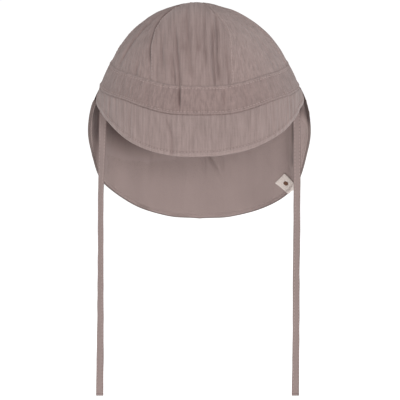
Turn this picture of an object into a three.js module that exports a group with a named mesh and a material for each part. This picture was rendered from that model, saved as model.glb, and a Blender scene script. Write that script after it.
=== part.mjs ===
// Toddler's sun hat in crinkled cotton muslin: six-gore crown, band, front peak, neck flap and two ties
// X runs to the viewer's right, Y to the back of the head, Z up, all in millimetres
// The origin is the middle of the head opening, level with the band's lowest point at the brow
import * as THREE from 'three';

// Head opening and crown
const RIM_HALF_WIDTH = 82;
const RIM_HALF_DEPTH = 83;
const CROWN_HEIGHT = 73;
const APEX_BACK = 17;
const APEX_LEFT = 1.8;
const BUTTON_GAP_SHARE = 0.02;

// Fullness of the gores between their seams: its depth, how square its arch is, the steps of the
// profile between which it begins, and how fast it fades towards the top of the crown
const GORE_PUFF = 1;
const PUFF_ARCH = 0.5;
const PUFF_START = { from: 0.2, to: 0.3 };
const PUFF_FADE = 4;

// Depth of the deepest fold, and the share of the height over which every fold fades out
const FOLD_DEPTH = 2.4;
const FOLD_FADE = 0.08;

// Band: the height of its two seams at the brow, and how far each one rises towards the ears
const BAND_HEIGHT = 20.8;
const BAND_TOP_RISE = 4.2;
const BAND_BOTTOM_RISE = 6.5;
const BAND_RISE_ANGLES = { from: 12, to: 54 };

// Front peak: its length at the middle of the brow, and how far round it is sewn on
const PEAK_LENGTH = 41;
const PEAK_SPAN = 91;
const PEAK_DROOP = 7;

// Neck flap: its length at the nape, how far it leans out, and its soft pleats, which grow over
// these shares of its length
const FLAP_LENGTH = 128.4;
const FLAP_FRONT_ANGLE = 93;
const FLAP_SIDE_LEAN = 0.12;
const FLAP_BACK_LEAN = 0.09;
const FLAP_SEAM_FLARE = 8;
const FLAP_PLEAT = 1.3;
const FLAP_PLEATS = 7;
const PLEAT_GROWTH = { from: 0.05, to: 0.8 };

// Ties, sewn inside the band at the ears
const TIE_WIDTH = 6;
const TIE_THICKNESS = 1.2;

// Label, folded over the flap's hem
const LABEL_WIDTH = 11;
const LABEL_LENGTH = 12.5;
const LABEL_THICKNESS = 1;
const LABEL_ANGLE = 131.5;

// Cloth walls and the space left between sewn pieces
const WALL = 2;
const GAP = 0.3;

// Colours and roughness of the cloth
const CLOTH = 0x9b8a86;
const LINING_CLOTH = 0x96847f;
const LABEL_CLOTH = 0xd6c8c0;
const CLOTH_ROUGHNESS = 0.95;

// Columns and rows of each piece's grid, and the steps along a tie
const GORE_GRID = [12, 12];
const BAND_GRID = [108, 3];
const PEAK_GRID = [56, 6];
const FLAP_GRID = [64, 12];
const TIE_STEPS = 30;
const LABEL_COLUMNS = 4;
const LABEL_LEAF_STEPS = 4;

// Crown in side view from the rim up: shares of CROWN_HEIGHT and of the rim's half sizes
const CROWN_PROFILE = [
  { height: 0, radius: 1 },
  { height: 0.15, radius: 0.945 },
  { height: 0.3, radius: 0.885 },
  { height: 0.45, radius: 0.82 },
  { height: 0.6, radius: 0.715 },
  { height: 0.71, radius: 0.612 },
  { height: 0.8, radius: 0.508 },
  { height: 0.872, radius: 0.38 },
  { height: 0.925, radius: 0.255 },
  { height: 0.952, radius: 0.13 },
  { height: 0.938, radius: BUTTON_GAP_SHARE },
];

// Seams between the gores, in degrees from the brow towards the viewer's right, and the steps of
// the profile between which each seam swings from one of its angles to the next
const LOWER_SWING = { from: 0.24, to: 0.6 };
const UPPER_SWING = { from: 0.45, to: 1 };
const GORE_SEAMS = [
  { name: 'front', atBand: -35, atMiddle: -42, atTop: -52 },
  { name: 'front_right', atBand: 21, atMiddle: 25, atTop: 38 },
  { name: 'back_right', atBand: 82, atMiddle: 84, atTop: 88 },
  { name: 'back', atBand: 142, atMiddle: 143, atTop: 145 },
  { name: 'back_left', atBand: 202, atMiddle: 202, atTop: 202 },
  { name: 'front_left', atBand: 262, atMiddle: 260, atTop: 256 },
];

// Soft folds in the crown and band: angle, height span as shares of CROWN_HEIGHT, half width in
// degrees, and depth as a share of FOLD_DEPTH
const FOLDS = [
  { angle: -11.8, low: 0.02, high: 0.3, width: 2.2, depth: 0.9 },
  { angle: 14.4, low: 0.06, high: 0.28, width: 2.2, depth: 0.4 },
  { angle: -14, low: 0.32, high: 0.75, width: 3, depth: 0.45 },
  { angle: 3, low: 0.32, high: 0.8, width: 3, depth: 0.45 },
  { angle: -35, low: 0.3, high: 0.5, width: 5, depth: 0.6 },
  { angle: -67, low: 0.42, high: 0.86, width: 5, depth: 0.8 },
  { angle: 61, low: 0.45, high: 0.9, width: 5, depth: 0.8 },
];

// Peak from the brow to the ear: angle, length to either side as shares of PEAK_LENGTH, and the
// cloth's lean from the vertical
const PEAK_SECTIONS = [
  { angle: 0, left: 1, right: 1, lean: 48 },
  { angle: 15, left: 0.98, right: 0.93, lean: 48 },
  { angle: 30, left: 0.87, right: 0.78, lean: 47 },
  { angle: 46, left: 0.61, right: 0.61, lean: 38 },
  { angle: 58, left: 0.41, right: 0.44, lean: 31 },
  { angle: 70, left: 0.3, right: 0.32, lean: 25 },
  { angle: 82, left: 0.25, right: 0.25, lean: 24 },
  { angle: 92, left: 0.13, right: 0.13, lean: 24 },
];

// Neck flap from the nape to its front edge: angle from the nape, and the drop of its hem to the
// viewer's left and right as shares of FLAP_LENGTH
const FLAP_SECTIONS = [
  { angle: 0, left: 1, right: 1 },
  { angle: 15, left: 0.974, right: 0.978 },
  { angle: 30, left: 0.903, right: 0.915 },
  { angle: 45, left: 0.777, right: 0.802 },
  { angle: 60, left: 0.608, right: 0.613 },
  { angle: 68, left: 0.456, right: 0.456 },
  { angle: 75, left: 0.334, right: 0.334 },
  { angle: 82, left: 0.206, right: 0.206 },
  { angle: 87, left: 0.108, right: 0.108 },
];

// Hollow behind the hem of each of the flap's front wings: its side (1 is the viewer's left), depth,
// height above the hem and half width, and the angles and drops over which a wing begins
const WING_HOLLOWS = [
  { side: -1, depth: 8, aboveHem: 25, width: 13 },
  { side: 1, depth: 3.5, aboveHem: 14, width: 8 },
];
const WING_ANGLES = { from: 48, to: 64 };
const WING_DROPS = { from: 12, to: 26 };

// Route of each tie from the seam down: across, back and height, chosen by hand
const LEFT_TIE_ROUTE = [
  [-75.2, -4, 9], [-76.4, -4.1, 1], [-78, -4.2, -8], [-78.7, -4.2, -18], [-79, -4, -32],
  [-79.1, -3.8, -50], [-79.2, -3.7, -70], [-79.3, -3.7, -92], [-79.3, -3.6, -114],
  [-79.5, -3.5, -136], [-79.6, -3.4, -158], [-79.7, -3.3, -180], [-79.9, -3.2, -202],
  [-80.2, -3.1, -222], [-80.4, -3, -236], [-80.5, -3, -247],
];
const RIGHT_TIE_ROUTE = [
  [75.2, -4, 9], [76, -4.1, 1], [77, -4.2, -8], [77.6, -4.2, -18], [78, -4, -32],
  [78.1, -3.8, -50], [78.1, -3.7, -70], [78.1, -3.7, -92], [78.1, -3.6, -114],
  [77.8, -3.5, -136], [77.7, -3.4, -158], [77.7, -3.3, -180], [77.6, -3.2, -202],
  [77.5, -3.1, -222], [77.4, -3, -236], [77.3, -3, -247],
];
// Turn of each tie about its own length, in degrees, from the seam to its free end
const LEFT_TIE_TURN = [90, 55, 20, 10, 20, 32, 45, 45, 45, 45, 42, 36, 28, 20, 10, 0];
const RIGHT_TIE_TURN = [-90, -60, -35, -25, -20, -20, -25, -28, -28, -28, -26, -28, -24, -20, -10, 0];

const DEGREE = Math.PI / 180;
const FULL_TURN = 360;
const QUARTER_TURN = 90;

// Step that a surface's slope is measured over, and how far from its ends it is measured
const SLOPE_STEP = 1e-3;
const SLOPE_INSET = 2e-3;
// Highest step of the profile that a seam can be at, and how often the search for it halves
const SEARCH_TOP = 0.8;
const SEARCH_HALVINGS = 40;

// Smooth step from 0 to 1 between two values
function ease(value, { from, to }) {
  const share = THREE.MathUtils.clamp((value - from) / (to - from), 0, 1);
  return share * share * (3 - 2 * share);
}

// Smooth curve through one column of a table, read at a value of another column
function tableValue(rows, key, at, column) {
  const last = rows.length - 1;
  let row = 0;
  while (row < last - 1 && at > rows[row + 1][key]) row += 1;
  const before = rows[Math.max(row - 1, 0)];
  const start = rows[row];
  const end = rows[row + 1];
  const after = rows[Math.min(row + 2, last)];
  const span = end[key] - start[key];
  const share = THREE.MathUtils.clamp((at - start[key]) / span, 0, 1);
  const slopeStart = ((end[column] - before[column]) / (end[key] - before[key])) * span;
  const slopeEnd = ((after[column] - start[column]) / (after[key] - start[key])) * span;
  const cube = share ** 3;
  const square = share ** 2;
  return (2 * cube - 3 * square + 1) * start[column] + (cube - 2 * square + share) * slopeStart
    + (3 * square - 2 * cube) * end[column] + (cube - square) * slopeEnd;
}

// Angle brought to between -180 and 180 degrees
function wrap(angle) {
  return THREE.MathUtils.euclideanModulo(angle + FULL_TURN / 2, FULL_TURN) - FULL_TURN / 2;
}

// Depth of the soft folds at a place on the crown or band
function foldDepth(angle, heightShare) {
  return FOLDS.reduce((sum, fold) => {
    const across = Math.exp(-(((wrap(angle - fold.angle)) / fold.width) ** 2));
    const nearby = (height) => ({ from: height - FOLD_FADE, to: height + FOLD_FADE });
    const rising = ease(heightShare, nearby(fold.low));
    const falling = 1 - ease(heightShare, nearby(fold.high));
    return sum + FOLD_DEPTH * fold.depth * across * rising * falling;
  }, 0);
}

const profileCurve = new THREE.SplineCurve(
  CROWN_PROFILE.map((row) => new THREE.Vector2(row.radius, row.height)),
);

// Angle of a gore's seam at a step of the profile curve
function seamAngle(seam, step) {
  const middle = THREE.MathUtils.lerp(seam.atBand, seam.atMiddle, ease(step, LOWER_SWING));
  return middle + (seam.atTop - seam.atMiddle) * ease(step, UPPER_SWING);
}

// How full the gores stand between their seams: 0 on a seam and 1 in the middle of a gore
function goreFullness(angle, step) {
  for (let index = 0; index < GORE_SEAMS.length; index += 1) {
    const start = seamAngle(GORE_SEAMS[index], step);
    const next = GORE_SEAMS[(index + 1) % GORE_SEAMS.length];
    const width = THREE.MathUtils.euclideanModulo(seamAngle(next, step) - start, FULL_TURN);
    const into = THREE.MathUtils.euclideanModulo(angle - start, FULL_TURN);
    if (into <= width) return Math.sin((Math.PI * into) / width) ** PUFF_ARCH;
  }
  return 0;
}

// How far the crown's face stands proud of its plain dome
function crownProud(angle, step) {
  const profile = profileCurve.getPoint(step);
  const share = ease(step, PUFF_START) * Math.min(1, profile.x * PUFF_FADE);
  const puff = GORE_PUFF * share * goreFullness(angle, step);
  return puff - foldDepth(angle, profile.y);
}

// Point on the outer face of the crown and band, at an angle and a step of the profile curve
function crownPoint(angle, step, proud = crownProud(angle, step)) {
  const profile = profileCurve.getPoint(step);
  const radians = angle * DEGREE;
  return new THREE.Vector3(
    (RIM_HALF_WIDTH * profile.x + proud) * Math.sin(radians) - APEX_LEFT * profile.y ** 2,
    APEX_BACK * profile.y ** 2 - (RIM_HALF_DEPTH * profile.x + proud) * Math.cos(radians),
    CROWN_HEIGHT * profile.y,
  );
}

// Outward direction of a surface at a point, from its two parameters
function outward(surface, across, along) {
  const acrossEdge = surface(across + SLOPE_STEP, along).sub(surface(across - SLOPE_STEP, along));
  const alongEdge = surface(across, along + SLOPE_STEP).sub(surface(across, along - SLOPE_STEP));
  return acrossEdge.cross(alongEdge).normalize();
}

// Step of the profile curve at a height
function stepAtHeight(height) {
  let low = 0;
  let high = SEARCH_TOP;
  for (let turn = 0; turn < SEARCH_HALVINGS; turn += 1) {
    const middle = (low + high) / 2;
    if (profileCurve.getPoint(middle).y * CROWN_HEIGHT < height) low = middle;
    else high = middle;
  }
  return (low + high) / 2;
}

// The seams dip at the brow and rise towards the ears
function seamRise(angle) {
  return ease(Math.abs(wrap(angle)), BAND_RISE_ANGLES);
}

function bandBottom(angle) {
  return BAND_BOTTOM_RISE * seamRise(angle);
}

function bandTop(angle) {
  return BAND_HEIGHT + BAND_TOP_RISE * seamRise(angle);
}

// Closed cloth wall from a grid of points on its outer and inner faces
// A ring joins its last column to its first; a sheet has four cut edges
function clothWall(columns, rows, outer, inner, ring = false) {
  const points = [];
  const faces = [];
  const columnCount = ring ? columns : columns + 1;
  const layer = columnCount * (rows + 1);
  for (const face of [outer, inner]) {
    for (let row = 0; row <= rows; row += 1) {
      for (let column = 0; column < columnCount; column += 1) {
        points.push(...face(column / columns, row / rows).toArray());
      }
    }
  }
  const at = (column, row, side) => side * layer + row * columnCount + (column % columnCount);
  const quad = (a, b, c, d) => faces.push(a, b, c, a, c, d);
  for (let column = 0; column < columns; column += 1) {
    for (let row = 0; row < rows; row += 1) {
      quad(at(column, row, 0), at(column + 1, row, 0), at(column + 1, row + 1, 0), at(column, row + 1, 0));
      quad(at(column, row, 1), at(column, row + 1, 1), at(column + 1, row + 1, 1), at(column + 1, row, 1));
    }
    quad(at(column, 0, 0), at(column, 0, 1), at(column + 1, 0, 1), at(column + 1, 0, 0));
    quad(at(column, rows, 0), at(column + 1, rows, 0), at(column + 1, rows, 1), at(column, rows, 1));
  }
  if (!ring) {
    for (let row = 0; row < rows; row += 1) {
      quad(at(0, row, 0), at(0, row + 1, 0), at(0, row + 1, 1), at(0, row, 1));
      quad(at(columns, row, 0), at(columns, row, 1), at(columns, row + 1, 1), at(columns, row + 1, 0));
    }
  }
  const geometry = new THREE.BufferGeometry();
  geometry.setAttribute('position', new THREE.Float32BufferAttribute(points, 3));
  geometry.setIndex(faces);
  geometry.computeVertexNormals();
  return geometry;
}

// Inner face of a wall: the outer face moved in by its thickness
function innerFace(surface, thickness) {
  return (across, along) => {
    const normal = outward(surface, across, along);
    return surface(across, along).addScaledVector(normal, -thickness);
  };
}

// Outer and inner faces of a crown piece from the places its grid stands on
// The wall is laid square to the plain dome, so neighbours keep their gap across a fold
function crownFaces(placeAt) {
  const plain = (angle, step) => crownPoint(angle, step, 0);
  const outer = (across, along) => crownPoint(...placeAt(across, along));
  const inner = (across, along) => {
    const [angle, step] = placeAt(across, along);
    const normal = outward(plain, angle, THREE.MathUtils.clamp(step, SLOPE_INSET, 1 - SLOPE_INSET));
    return crownPoint(angle, step).addScaledVector(normal, -WALL);
  };
  return [outer, inner];
}

function named(name, geometry, colour) {
  const material = new THREE.MeshStandardMaterial({
    color: colour, roughness: CLOTH_ROUGHNESS, metalness: 0,
  });
  const mesh = new THREE.Mesh(geometry, material);
  mesh.name = name;
  return mesh;
}

// One gore of the crown, from the band's top seam to the top of the crown
function gore(index) {
  const seam = GORE_SEAMS[index];
  const next = GORE_SEAMS[(index + 1) % GORE_SEAMS.length];
  const bandWidth = THREE.MathUtils.euclideanModulo(next.atBand - seam.atBand, FULL_TURN);
  const placeAt = (across, along) => {
    const start = stepAtHeight(bandTop(seam.atBand + bandWidth * across) + GAP / 2);
    const step = THREE.MathUtils.lerp(start, 1, along);
    const left = seamAngle(seam, step);
    const width = THREE.MathUtils.euclideanModulo(seamAngle(next, step) - left, FULL_TURN);
    const radius = RIM_HALF_WIDTH * profileCurve.getPoint(step).x;
    const inset = GAP / 2 / (radius * DEGREE);
    return [THREE.MathUtils.lerp(left + inset, left + width - inset, across), step];
  };
  return named(`crown_gore_${seam.name}`, clothWall(...GORE_GRID, ...crownFaces(placeAt)), CLOTH);
}

// Band between the crown and the peak and flap
function band() {
  const placeAt = (across, along) => {
    const angle = across * FULL_TURN;
    const height = THREE.MathUtils.lerp(bandBottom(angle), bandTop(angle) - GAP / 2, along);
    return [angle, stepAtHeight(height)];
  };
  return named('headband', clothWall(...BAND_GRID, ...crownFaces(placeAt), true), CLOTH);
}

// Middle of the band's lower edge, where the peak and flap are sewn on
function rimPoint(angle) {
  return crownPoint(angle, stepAtHeight(bandBottom(angle))).setZ(bandBottom(angle) - GAP);
}

// Direction straight out from the rim, level with it
function rimOutward(angle) {
  const radians = angle * DEGREE;
  return new THREE.Vector3(
    Math.sin(radians) / RIM_HALF_WIDTH, -Math.cos(radians) / RIM_HALF_DEPTH, 0,
  ).normalize();
}

// Front peak, sewn round the brow from ear to ear
function peak() {
  const surface = (across, along) => {
    const angle = THREE.MathUtils.lerp(-PEAK_SPAN, PEAK_SPAN, across);
    const side = angle < 0 ? 'left' : 'right';
    const reach = PEAK_LENGTH * tableValue(PEAK_SECTIONS, 'angle', Math.abs(angle), side);
    const leanAngle = tableValue(PEAK_SECTIONS, 'angle', Math.abs(angle), 'lean');
    const lean = (leanAngle + PEAK_DROOP * (1 - along)) * DEGREE;
    const point = rimPoint(angle);
    point.addScaledVector(rimOutward(angle), reach * along * Math.sin(lean));
    point.z -= reach * along * Math.cos(lean);
    return point;
  };
  const flipped = (across, along) => surface(1 - across, along);
  return named('front_peak', clothWall(...PEAK_GRID, flipped, innerFace(flipped, WALL)), CLOTH);
}

// Outer face of the neck flap: across runs from one front edge round the nape to the other
function flapSurface(across, along) {
  const half = FULL_TURN / 2 - FLAP_FRONT_ANGLE;
  const fromNape = half * Math.sin((across * 2 - 1) * QUARTER_TURN * DEGREE);
  const angle = FULL_TURN / 2 + fromNape;
  const side = fromNape > 0 ? 'left' : 'right';
  const length = FLAP_LENGTH * tableValue(FLAP_SECTIONS, 'angle', Math.abs(fromNape), side);
  const drop = along * length;
  const atNape = Math.cos(fromNape * DEGREE) ** 2;
  const lean = THREE.MathUtils.lerp(FLAP_SIDE_LEAN, FLAP_BACK_LEAN, atNape);
  const flare = FLAP_SEAM_FLARE * (1 - Math.exp(-drop / (2 * FLAP_SEAM_FLARE)));
  const pleatWave = Math.cos((fromNape / half) * Math.PI * FLAP_PLEATS);
  const pleat = FLAP_PLEAT * pleatWave * ease(along, PLEAT_GROWTH) * Math.cos(fromNape * DEGREE);
  const hollow = WING_HOLLOWS.reduce((sum, wing) => {
    const begun = ease(wing.side * fromNape, WING_ANGLES) * ease(drop, WING_DROPS);
    const off = (length - drop - wing.aboveHem) / wing.width;
    return sum + wing.depth * begun * Math.exp(-(off ** 2));
  }, 0);
  const point = rimPoint(angle);
  point.addScaledVector(rimOutward(angle), lean * drop + flare + pleat - hollow);
  point.z -= drop;
  return point;
}

const flapFlipped = (across, along) => flapSurface(1 - across, along);

function neckFlap() {
  const geometry = clothWall(...FLAP_GRID, flapFlipped, innerFace(flapFlipped, WALL));
  return named('neck_flap', geometry, LINING_CLOTH);
}

// Flat tie with rounded edges, bent and turned along its route
function tie(name, route, turns) {
  const round = TIE_THICKNESS / 2;
  const flat = TIE_WIDTH / 2 - round;
  const section = new THREE.Shape([
    new THREE.Vector2(flat, -round), new THREE.Vector2(flat + round, -round / 2),
    new THREE.Vector2(flat + round, round / 2), new THREE.Vector2(flat, round),
    new THREE.Vector2(-flat, round), new THREE.Vector2(-flat - round, round / 2),
    new THREE.Vector2(-flat - round, -round / 2), new THREE.Vector2(-flat, -round),
  ]);
  const path = new THREE.CatmullRomCurve3(route.map((point) => new THREE.Vector3(...point)));
  const last = turns.length - 1;
  const straight = new THREE.ExtrudeGeometry(section, {
    depth: 1, steps: TIE_STEPS, bevelEnabled: false,
  });
  const corner = straight.getAttribute('position');
  for (let index = 0; index < corner.count; index += 1) {
    const share = corner.getZ(index);
    const centre = path.getPoint(share);
    const row = Math.min(Math.floor(share * last), last - 1);
    const turn = THREE.MathUtils.lerp(turns[row], turns[row + 1], share * last - row) * DEGREE;
    const across = corner.getX(index);
    const through = corner.getY(index);
    corner.setXYZ(
      index,
      centre.x + across * Math.cos(turn) - through * Math.sin(turn),
      centre.y - across * Math.sin(turn) - through * Math.cos(turn),
      centre.z,
    );
  }
  return named(name, straight, CLOTH);
}

// Label folded over the flap's hem: one strip that runs up both faces of the flap
function label() {
  const fromNape = FULL_TURN / 2 - LABEL_ANGLE;
  const centre = 0.5 + Math.asin(fromNape / (FULL_TURN / 2 - FLAP_FRONT_ANGLE)) / Math.PI;
  const hemStep = flapFlipped(centre + SLOPE_STEP, 1).sub(flapFlipped(centre - SLOPE_STEP, 1));
  const acrossRate = hemStep.divideScalar(2 * SLOPE_STEP);
  const dropStep = flapFlipped(centre, 1).sub(flapFlipped(centre, 1 - SLOPE_STEP));
  const dropRate = dropStep.divideScalar(SLOPE_STEP);
  const hemLine = acrossRate.clone().normalize();
  const upward = hemLine.clone().multiplyScalar(dropRate.dot(hemLine)).sub(dropRate).normalize();
  const alongPerUp = 1 / dropRate.dot(upward);
  const acrossPerUp = -(alongPerUp * dropRate.dot(hemLine)) / acrossRate.length();
  const halfWidth = LABEL_WIDTH / 2 / acrossRate.length();
  const sheetAt = (across, up, away) => {
    const inside = Math.max(up, 0);
    const place = THREE.MathUtils.lerp(centre - halfWidth, centre + halfWidth, across)
      + acrossPerUp * inside;
    const along = 1 + alongPerUp * inside;
    return flapFlipped(place, along)
      .addScaledVector(outward(flapFlipped, place, along), away)
      .addScaledVector(upward, Math.min(up, 0));
  };
  const rows = 2 * LABEL_LEAF_STEPS + 1;
  const section = (offset, overhang) => (across, along) => {
    const row = Math.round(along * rows);
    const front = row <= LABEL_LEAF_STEPS;
    const share = (front ? row : rows - row) / LABEL_LEAF_STEPS;
    const up = THREE.MathUtils.lerp(LABEL_LENGTH, -overhang, share);
    return sheetAt(across, up, front ? GAP + offset : -WALL - GAP - offset);
  };
  const outer = section(LABEL_THICKNESS, GAP + LABEL_THICKNESS);
  const inner = section(0, GAP);
  return named('label', clothWall(LABEL_COLUMNS, rows, outer, inner), LABEL_CLOTH);
}

const hat = new THREE.Group();
hat.add(band());
GORE_SEAMS.forEach((seam, index) => hat.add(gore(index)));
hat.add(peak());
hat.add(neckFlap());
hat.add(tie('tie_left', LEFT_TIE_ROUTE, LEFT_TIE_TURN));
hat.add(tie('tie_right', RIGHT_TIE_ROUTE, RIGHT_TIE_TURN));
hat.add(label());

export default hat;
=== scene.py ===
# %% [markdown]
# # A toddler's sun hat in crinkled muslin
# This hat is sewn, not moulded: six gores make the crown, a band runs round the head, a soft peak
# shades the brow, a long flap hangs over the nape, and two flat ties hang free at the ears. We
# dress the measured model with cloth that has real thickness, crinkles, folds and stitches. We
# load that model first, so that every piece we make can be set against it.

# %% Load the measured hat
import math

import bpy
import numpy as np
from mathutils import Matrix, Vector


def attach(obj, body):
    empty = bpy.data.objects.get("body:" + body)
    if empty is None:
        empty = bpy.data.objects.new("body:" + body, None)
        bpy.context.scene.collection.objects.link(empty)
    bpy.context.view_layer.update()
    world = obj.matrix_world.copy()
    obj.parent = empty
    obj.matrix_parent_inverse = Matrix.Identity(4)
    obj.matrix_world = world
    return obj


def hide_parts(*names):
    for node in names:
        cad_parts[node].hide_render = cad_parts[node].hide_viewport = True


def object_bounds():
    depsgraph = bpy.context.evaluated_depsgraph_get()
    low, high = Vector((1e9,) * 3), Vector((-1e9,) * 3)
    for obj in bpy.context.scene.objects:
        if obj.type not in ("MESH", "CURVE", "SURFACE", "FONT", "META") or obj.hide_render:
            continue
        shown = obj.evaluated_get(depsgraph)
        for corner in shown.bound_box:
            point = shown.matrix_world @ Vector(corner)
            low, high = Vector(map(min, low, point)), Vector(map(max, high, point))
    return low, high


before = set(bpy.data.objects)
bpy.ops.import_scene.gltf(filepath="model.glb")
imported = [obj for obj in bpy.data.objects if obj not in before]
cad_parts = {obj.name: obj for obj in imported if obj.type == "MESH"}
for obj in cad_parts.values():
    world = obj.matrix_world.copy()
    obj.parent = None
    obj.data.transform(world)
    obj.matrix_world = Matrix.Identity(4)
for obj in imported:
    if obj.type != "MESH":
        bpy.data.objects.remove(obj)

MM = 0.001
cad_low, cad_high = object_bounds()
print("measured hat, in mm:", [round((b - a) / MM) for a, b in zip(cad_low, cad_high)])

# %% [markdown]
# ## Camera
# The photograph looks at the brow from a little above. A long lens from far away keeps the near
# peak and the far flap at nearly one scale, as product photographs do, so one pixel is the same
# number of millimetres all over the hat.

# %% Camera
PHOTO_PIXELS = 400
# what one pixel of the photograph spans, and the pixel on which the frame's origin lies
PIXEL = 0.8 * MM
ORIGIN_PIXEL = (199.0, 94.0)
CAMERA_HEIGHT = math.radians(12)
CAMERA_DISTANCE = 6.0
SENSOR = 36.0


def make_camera():
    """A camera that shows each millimetre at the pixel where the photograph shows it."""
    middle = (PHOTO_PIXELS - 1) / 2
    right = Vector((1, 0, 0))
    up = Vector((0, math.sin(CAMERA_HEIGHT), math.cos(CAMERA_HEIGHT)))
    back = Vector((0, -math.cos(CAMERA_HEIGHT), math.sin(CAMERA_HEIGHT)))
    aim = right * (middle - ORIGIN_PIXEL[0]) * PIXEL - up * (middle - ORIGIN_PIXEL[1]) * PIXEL
    data = bpy.data.cameras.new("photo_camera")
    data.sensor_width = SENSOR
    data.lens = SENSOR * CAMERA_DISTANCE / (PHOTO_PIXELS * PIXEL)
    data.clip_start = 0.05
    data.clip_end = 40
    camera = bpy.data.objects.new("photo_camera", data)
    camera.location = aim + back * CAMERA_DISTANCE
    camera.rotation_mode = "QUATERNION"
    camera.rotation_quaternion = (-back).to_track_quat("-Z", "Y")
    bpy.context.scene.collection.objects.link(camera)
    bpy.context.scene.camera = camera
    print("lens, in mm:", round(data.lens))


make_camera()

# %% [markdown]
# ## Easing, noise and tables
# Cloth is never regular, and never ragged either. All that bends, fades or wanders on this hat
# comes from a few small helpers: an ease that starts and stops softly, a bell for one round bump,
# and noise that is the same on every run. A seed fixes the noise, so the hat never changes.

# %% Easing and noise
NOISE_CELLS = 64


def ease(value, start, end):
    """0 before the start, 1 after the end, and soft in between."""
    share = np.clip((value - start) / (end - start), 0, 1)
    return share * share * (3 - 2 * share)


def mix(a, b, share):
    return a + (b - a) * share


def bell(value, at, width):
    """One round bump: 1 at its middle and nearly 0 two widths away."""
    return np.exp(-((value - at) / width) ** 2)


def soft_noise(x, y, seed):
    """Smooth noise from -1 to 1 that never changes for one seed."""
    cells = np.random.RandomState(seed).uniform(-1, 1, (NOISE_CELLS, NOISE_CELLS))
    x, y = np.broadcast_arrays(np.asarray(x, float), np.asarray(y, float))
    column, row = np.floor(x).astype(int), np.floor(y).astype(int)
    fx, fy = ease(x - column, 0, 1), ease(y - row, 0, 1)

    def at(i, j):
        return cells[(column + i) % NOISE_CELLS, (row + j) % NOISE_CELLS]

    low = mix(at(0, 0), at(1, 0), fx)
    high = mix(at(0, 1), at(1, 1), fx)
    return mix(low, high, fy)


print("noise at three places:", soft_noise(np.array([0.5, 1.5, 2.5]), 0.5, 1).round(2))

# %% [markdown]
# Shapes that have no formula, such as the flap's hem, are short tables: a few rows measured on the
# photograph, with a smooth curve through them. A table of a few rows is easy to check and to
# change. Rows of points are crowded near the seams, where the cloth bends most.

# %% Tables and steps
def read_table(rows, at, column):
    """Smooth curve through one column of a table whose first column is the key."""
    keys = np.array([row[0] for row in rows], float)
    values = np.array([row[column] for row in rows], float)
    slopes = np.gradient(values, keys)
    at = np.clip(at, keys[0], keys[-1])
    cell = np.clip(np.searchsorted(keys, at, side="right") - 1, 0, len(keys) - 2)
    size = keys[cell + 1] - keys[cell]
    t = (at - keys[cell]) / size
    return ((2 * t**3 - 3 * t**2 + 1) * values[cell] + (t**3 - 2 * t**2 + t) * slopes[cell] * size
            + (3 * t**2 - 2 * t**3) * values[cell + 1] + (t**3 - t**2) * slopes[cell + 1] * size)


def crowded(count, pull=0.75):
    """Steps from 0 to 1 that crowd together near both ends, where cloth rolls into its seams."""
    t = np.linspace(0, 1, count + 1)
    return t - pull * np.sin(2 * math.pi * t) / (2 * math.pi)


print("six crowded steps:", crowded(6).round(2))

# %% [markdown]
# ## From a face to a piece
# A face is a function that turns two shares, across and along, into a point of the cloth's outer
# side. We could sculpt each piece by hand, but a function can be asked for its slope anywhere, and
# the stitches later follow exactly the same bumps. Every point also keeps its place on the flat
# cloth, in mm, as an attribute that the finishes read. The third number of a place tells the
# pieces apart, and its fraction is painted shade: the share of a deep shade colour painted into a
# fold or a corner, because soft light alone leaves such places too pale.

# %% Faces, places and pieces
def face_normals(face, u, v, reach=1e-3):
    """Directions straight out of a face, from its slope across and along."""
    across = face(u + reach, v) - face(u - reach, v)
    along = face(u, v + reach) - face(u, v - reach)
    normal = np.cross(across, along)
    return normal / np.maximum(np.linalg.norm(normal, axis=-1, keepdims=True), 1e-12)


def cloth_places(across_mm, along_mm, third=0.0):
    """Places on the flat cloth, each with the number that holds its painted shade."""
    return np.stack(np.broadcast_arrays(across_mm, along_mm, third), -1)


def mesh_piece(name, points, quads, cloth, sides, materials):
    """A mesh object that rides with the hat; sides are its faces' material numbers."""
    mesh = bpy.data.meshes.new(name)
    mesh.from_pydata(points.tolist(), [], quads.tolist() if hasattr(quads, "tolist") else quads)
    mesh.polygons.foreach_set("use_smooth", [True] * len(mesh.polygons))
    layer = mesh.attributes.new("cloth", "FLOAT_VECTOR", "POINT")
    layer.data.foreach_set("vector", np.ascontiguousarray(cloth, float).ravel())
    for material in materials:
        mesh.materials.append(material)
    if sides is not None:
        mesh.polygons.foreach_set("material_index", sides)
    mesh.update()
    piece = bpy.data.objects.new(name, mesh)
    bpy.context.scene.collection.objects.link(piece)
    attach(piece, "root")
    return piece


print("one place on the cloth:", cloth_places(12.0, 30.0, 80.25))

# %% [markdown]
# ## A wall with round edges
# Cloth has two sides and a thickness. A Solidify modifier would give it one, but with a sharp cut
# all round, and a cloth edge is a turned fold. So we lay an outer and an inner grid of points and
# close them with a few rings on a half circle. A ring-shaped wall, such as the band, has two such
# edges, and any other wall has one that runs all the way round.

# %% Walls of cloth
EDGE_TURNS = (math.pi / 4, math.pi / 2, 3 * math.pi / 4)


def whole_border(number):
    """The points all round a grid's border, and the point just inside each of them."""
    columns, rows = number.shape
    loop = np.concatenate([number[:-1, 0], number[-1, :-1], number[:0:-1, -1], number[0, :0:-1]])
    inward = np.concatenate([number[:-1, 1], number[-2, :-1], number[:0:-1, -2], number[1, :0:-1]])
    inward[0], inward[columns - 1] = number[1, 1], number[-2, 1]
    inward[columns + rows - 2], inward[2 * columns + rows - 3] = number[-2, -2], number[1, -2]
    return loop, inward


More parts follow.
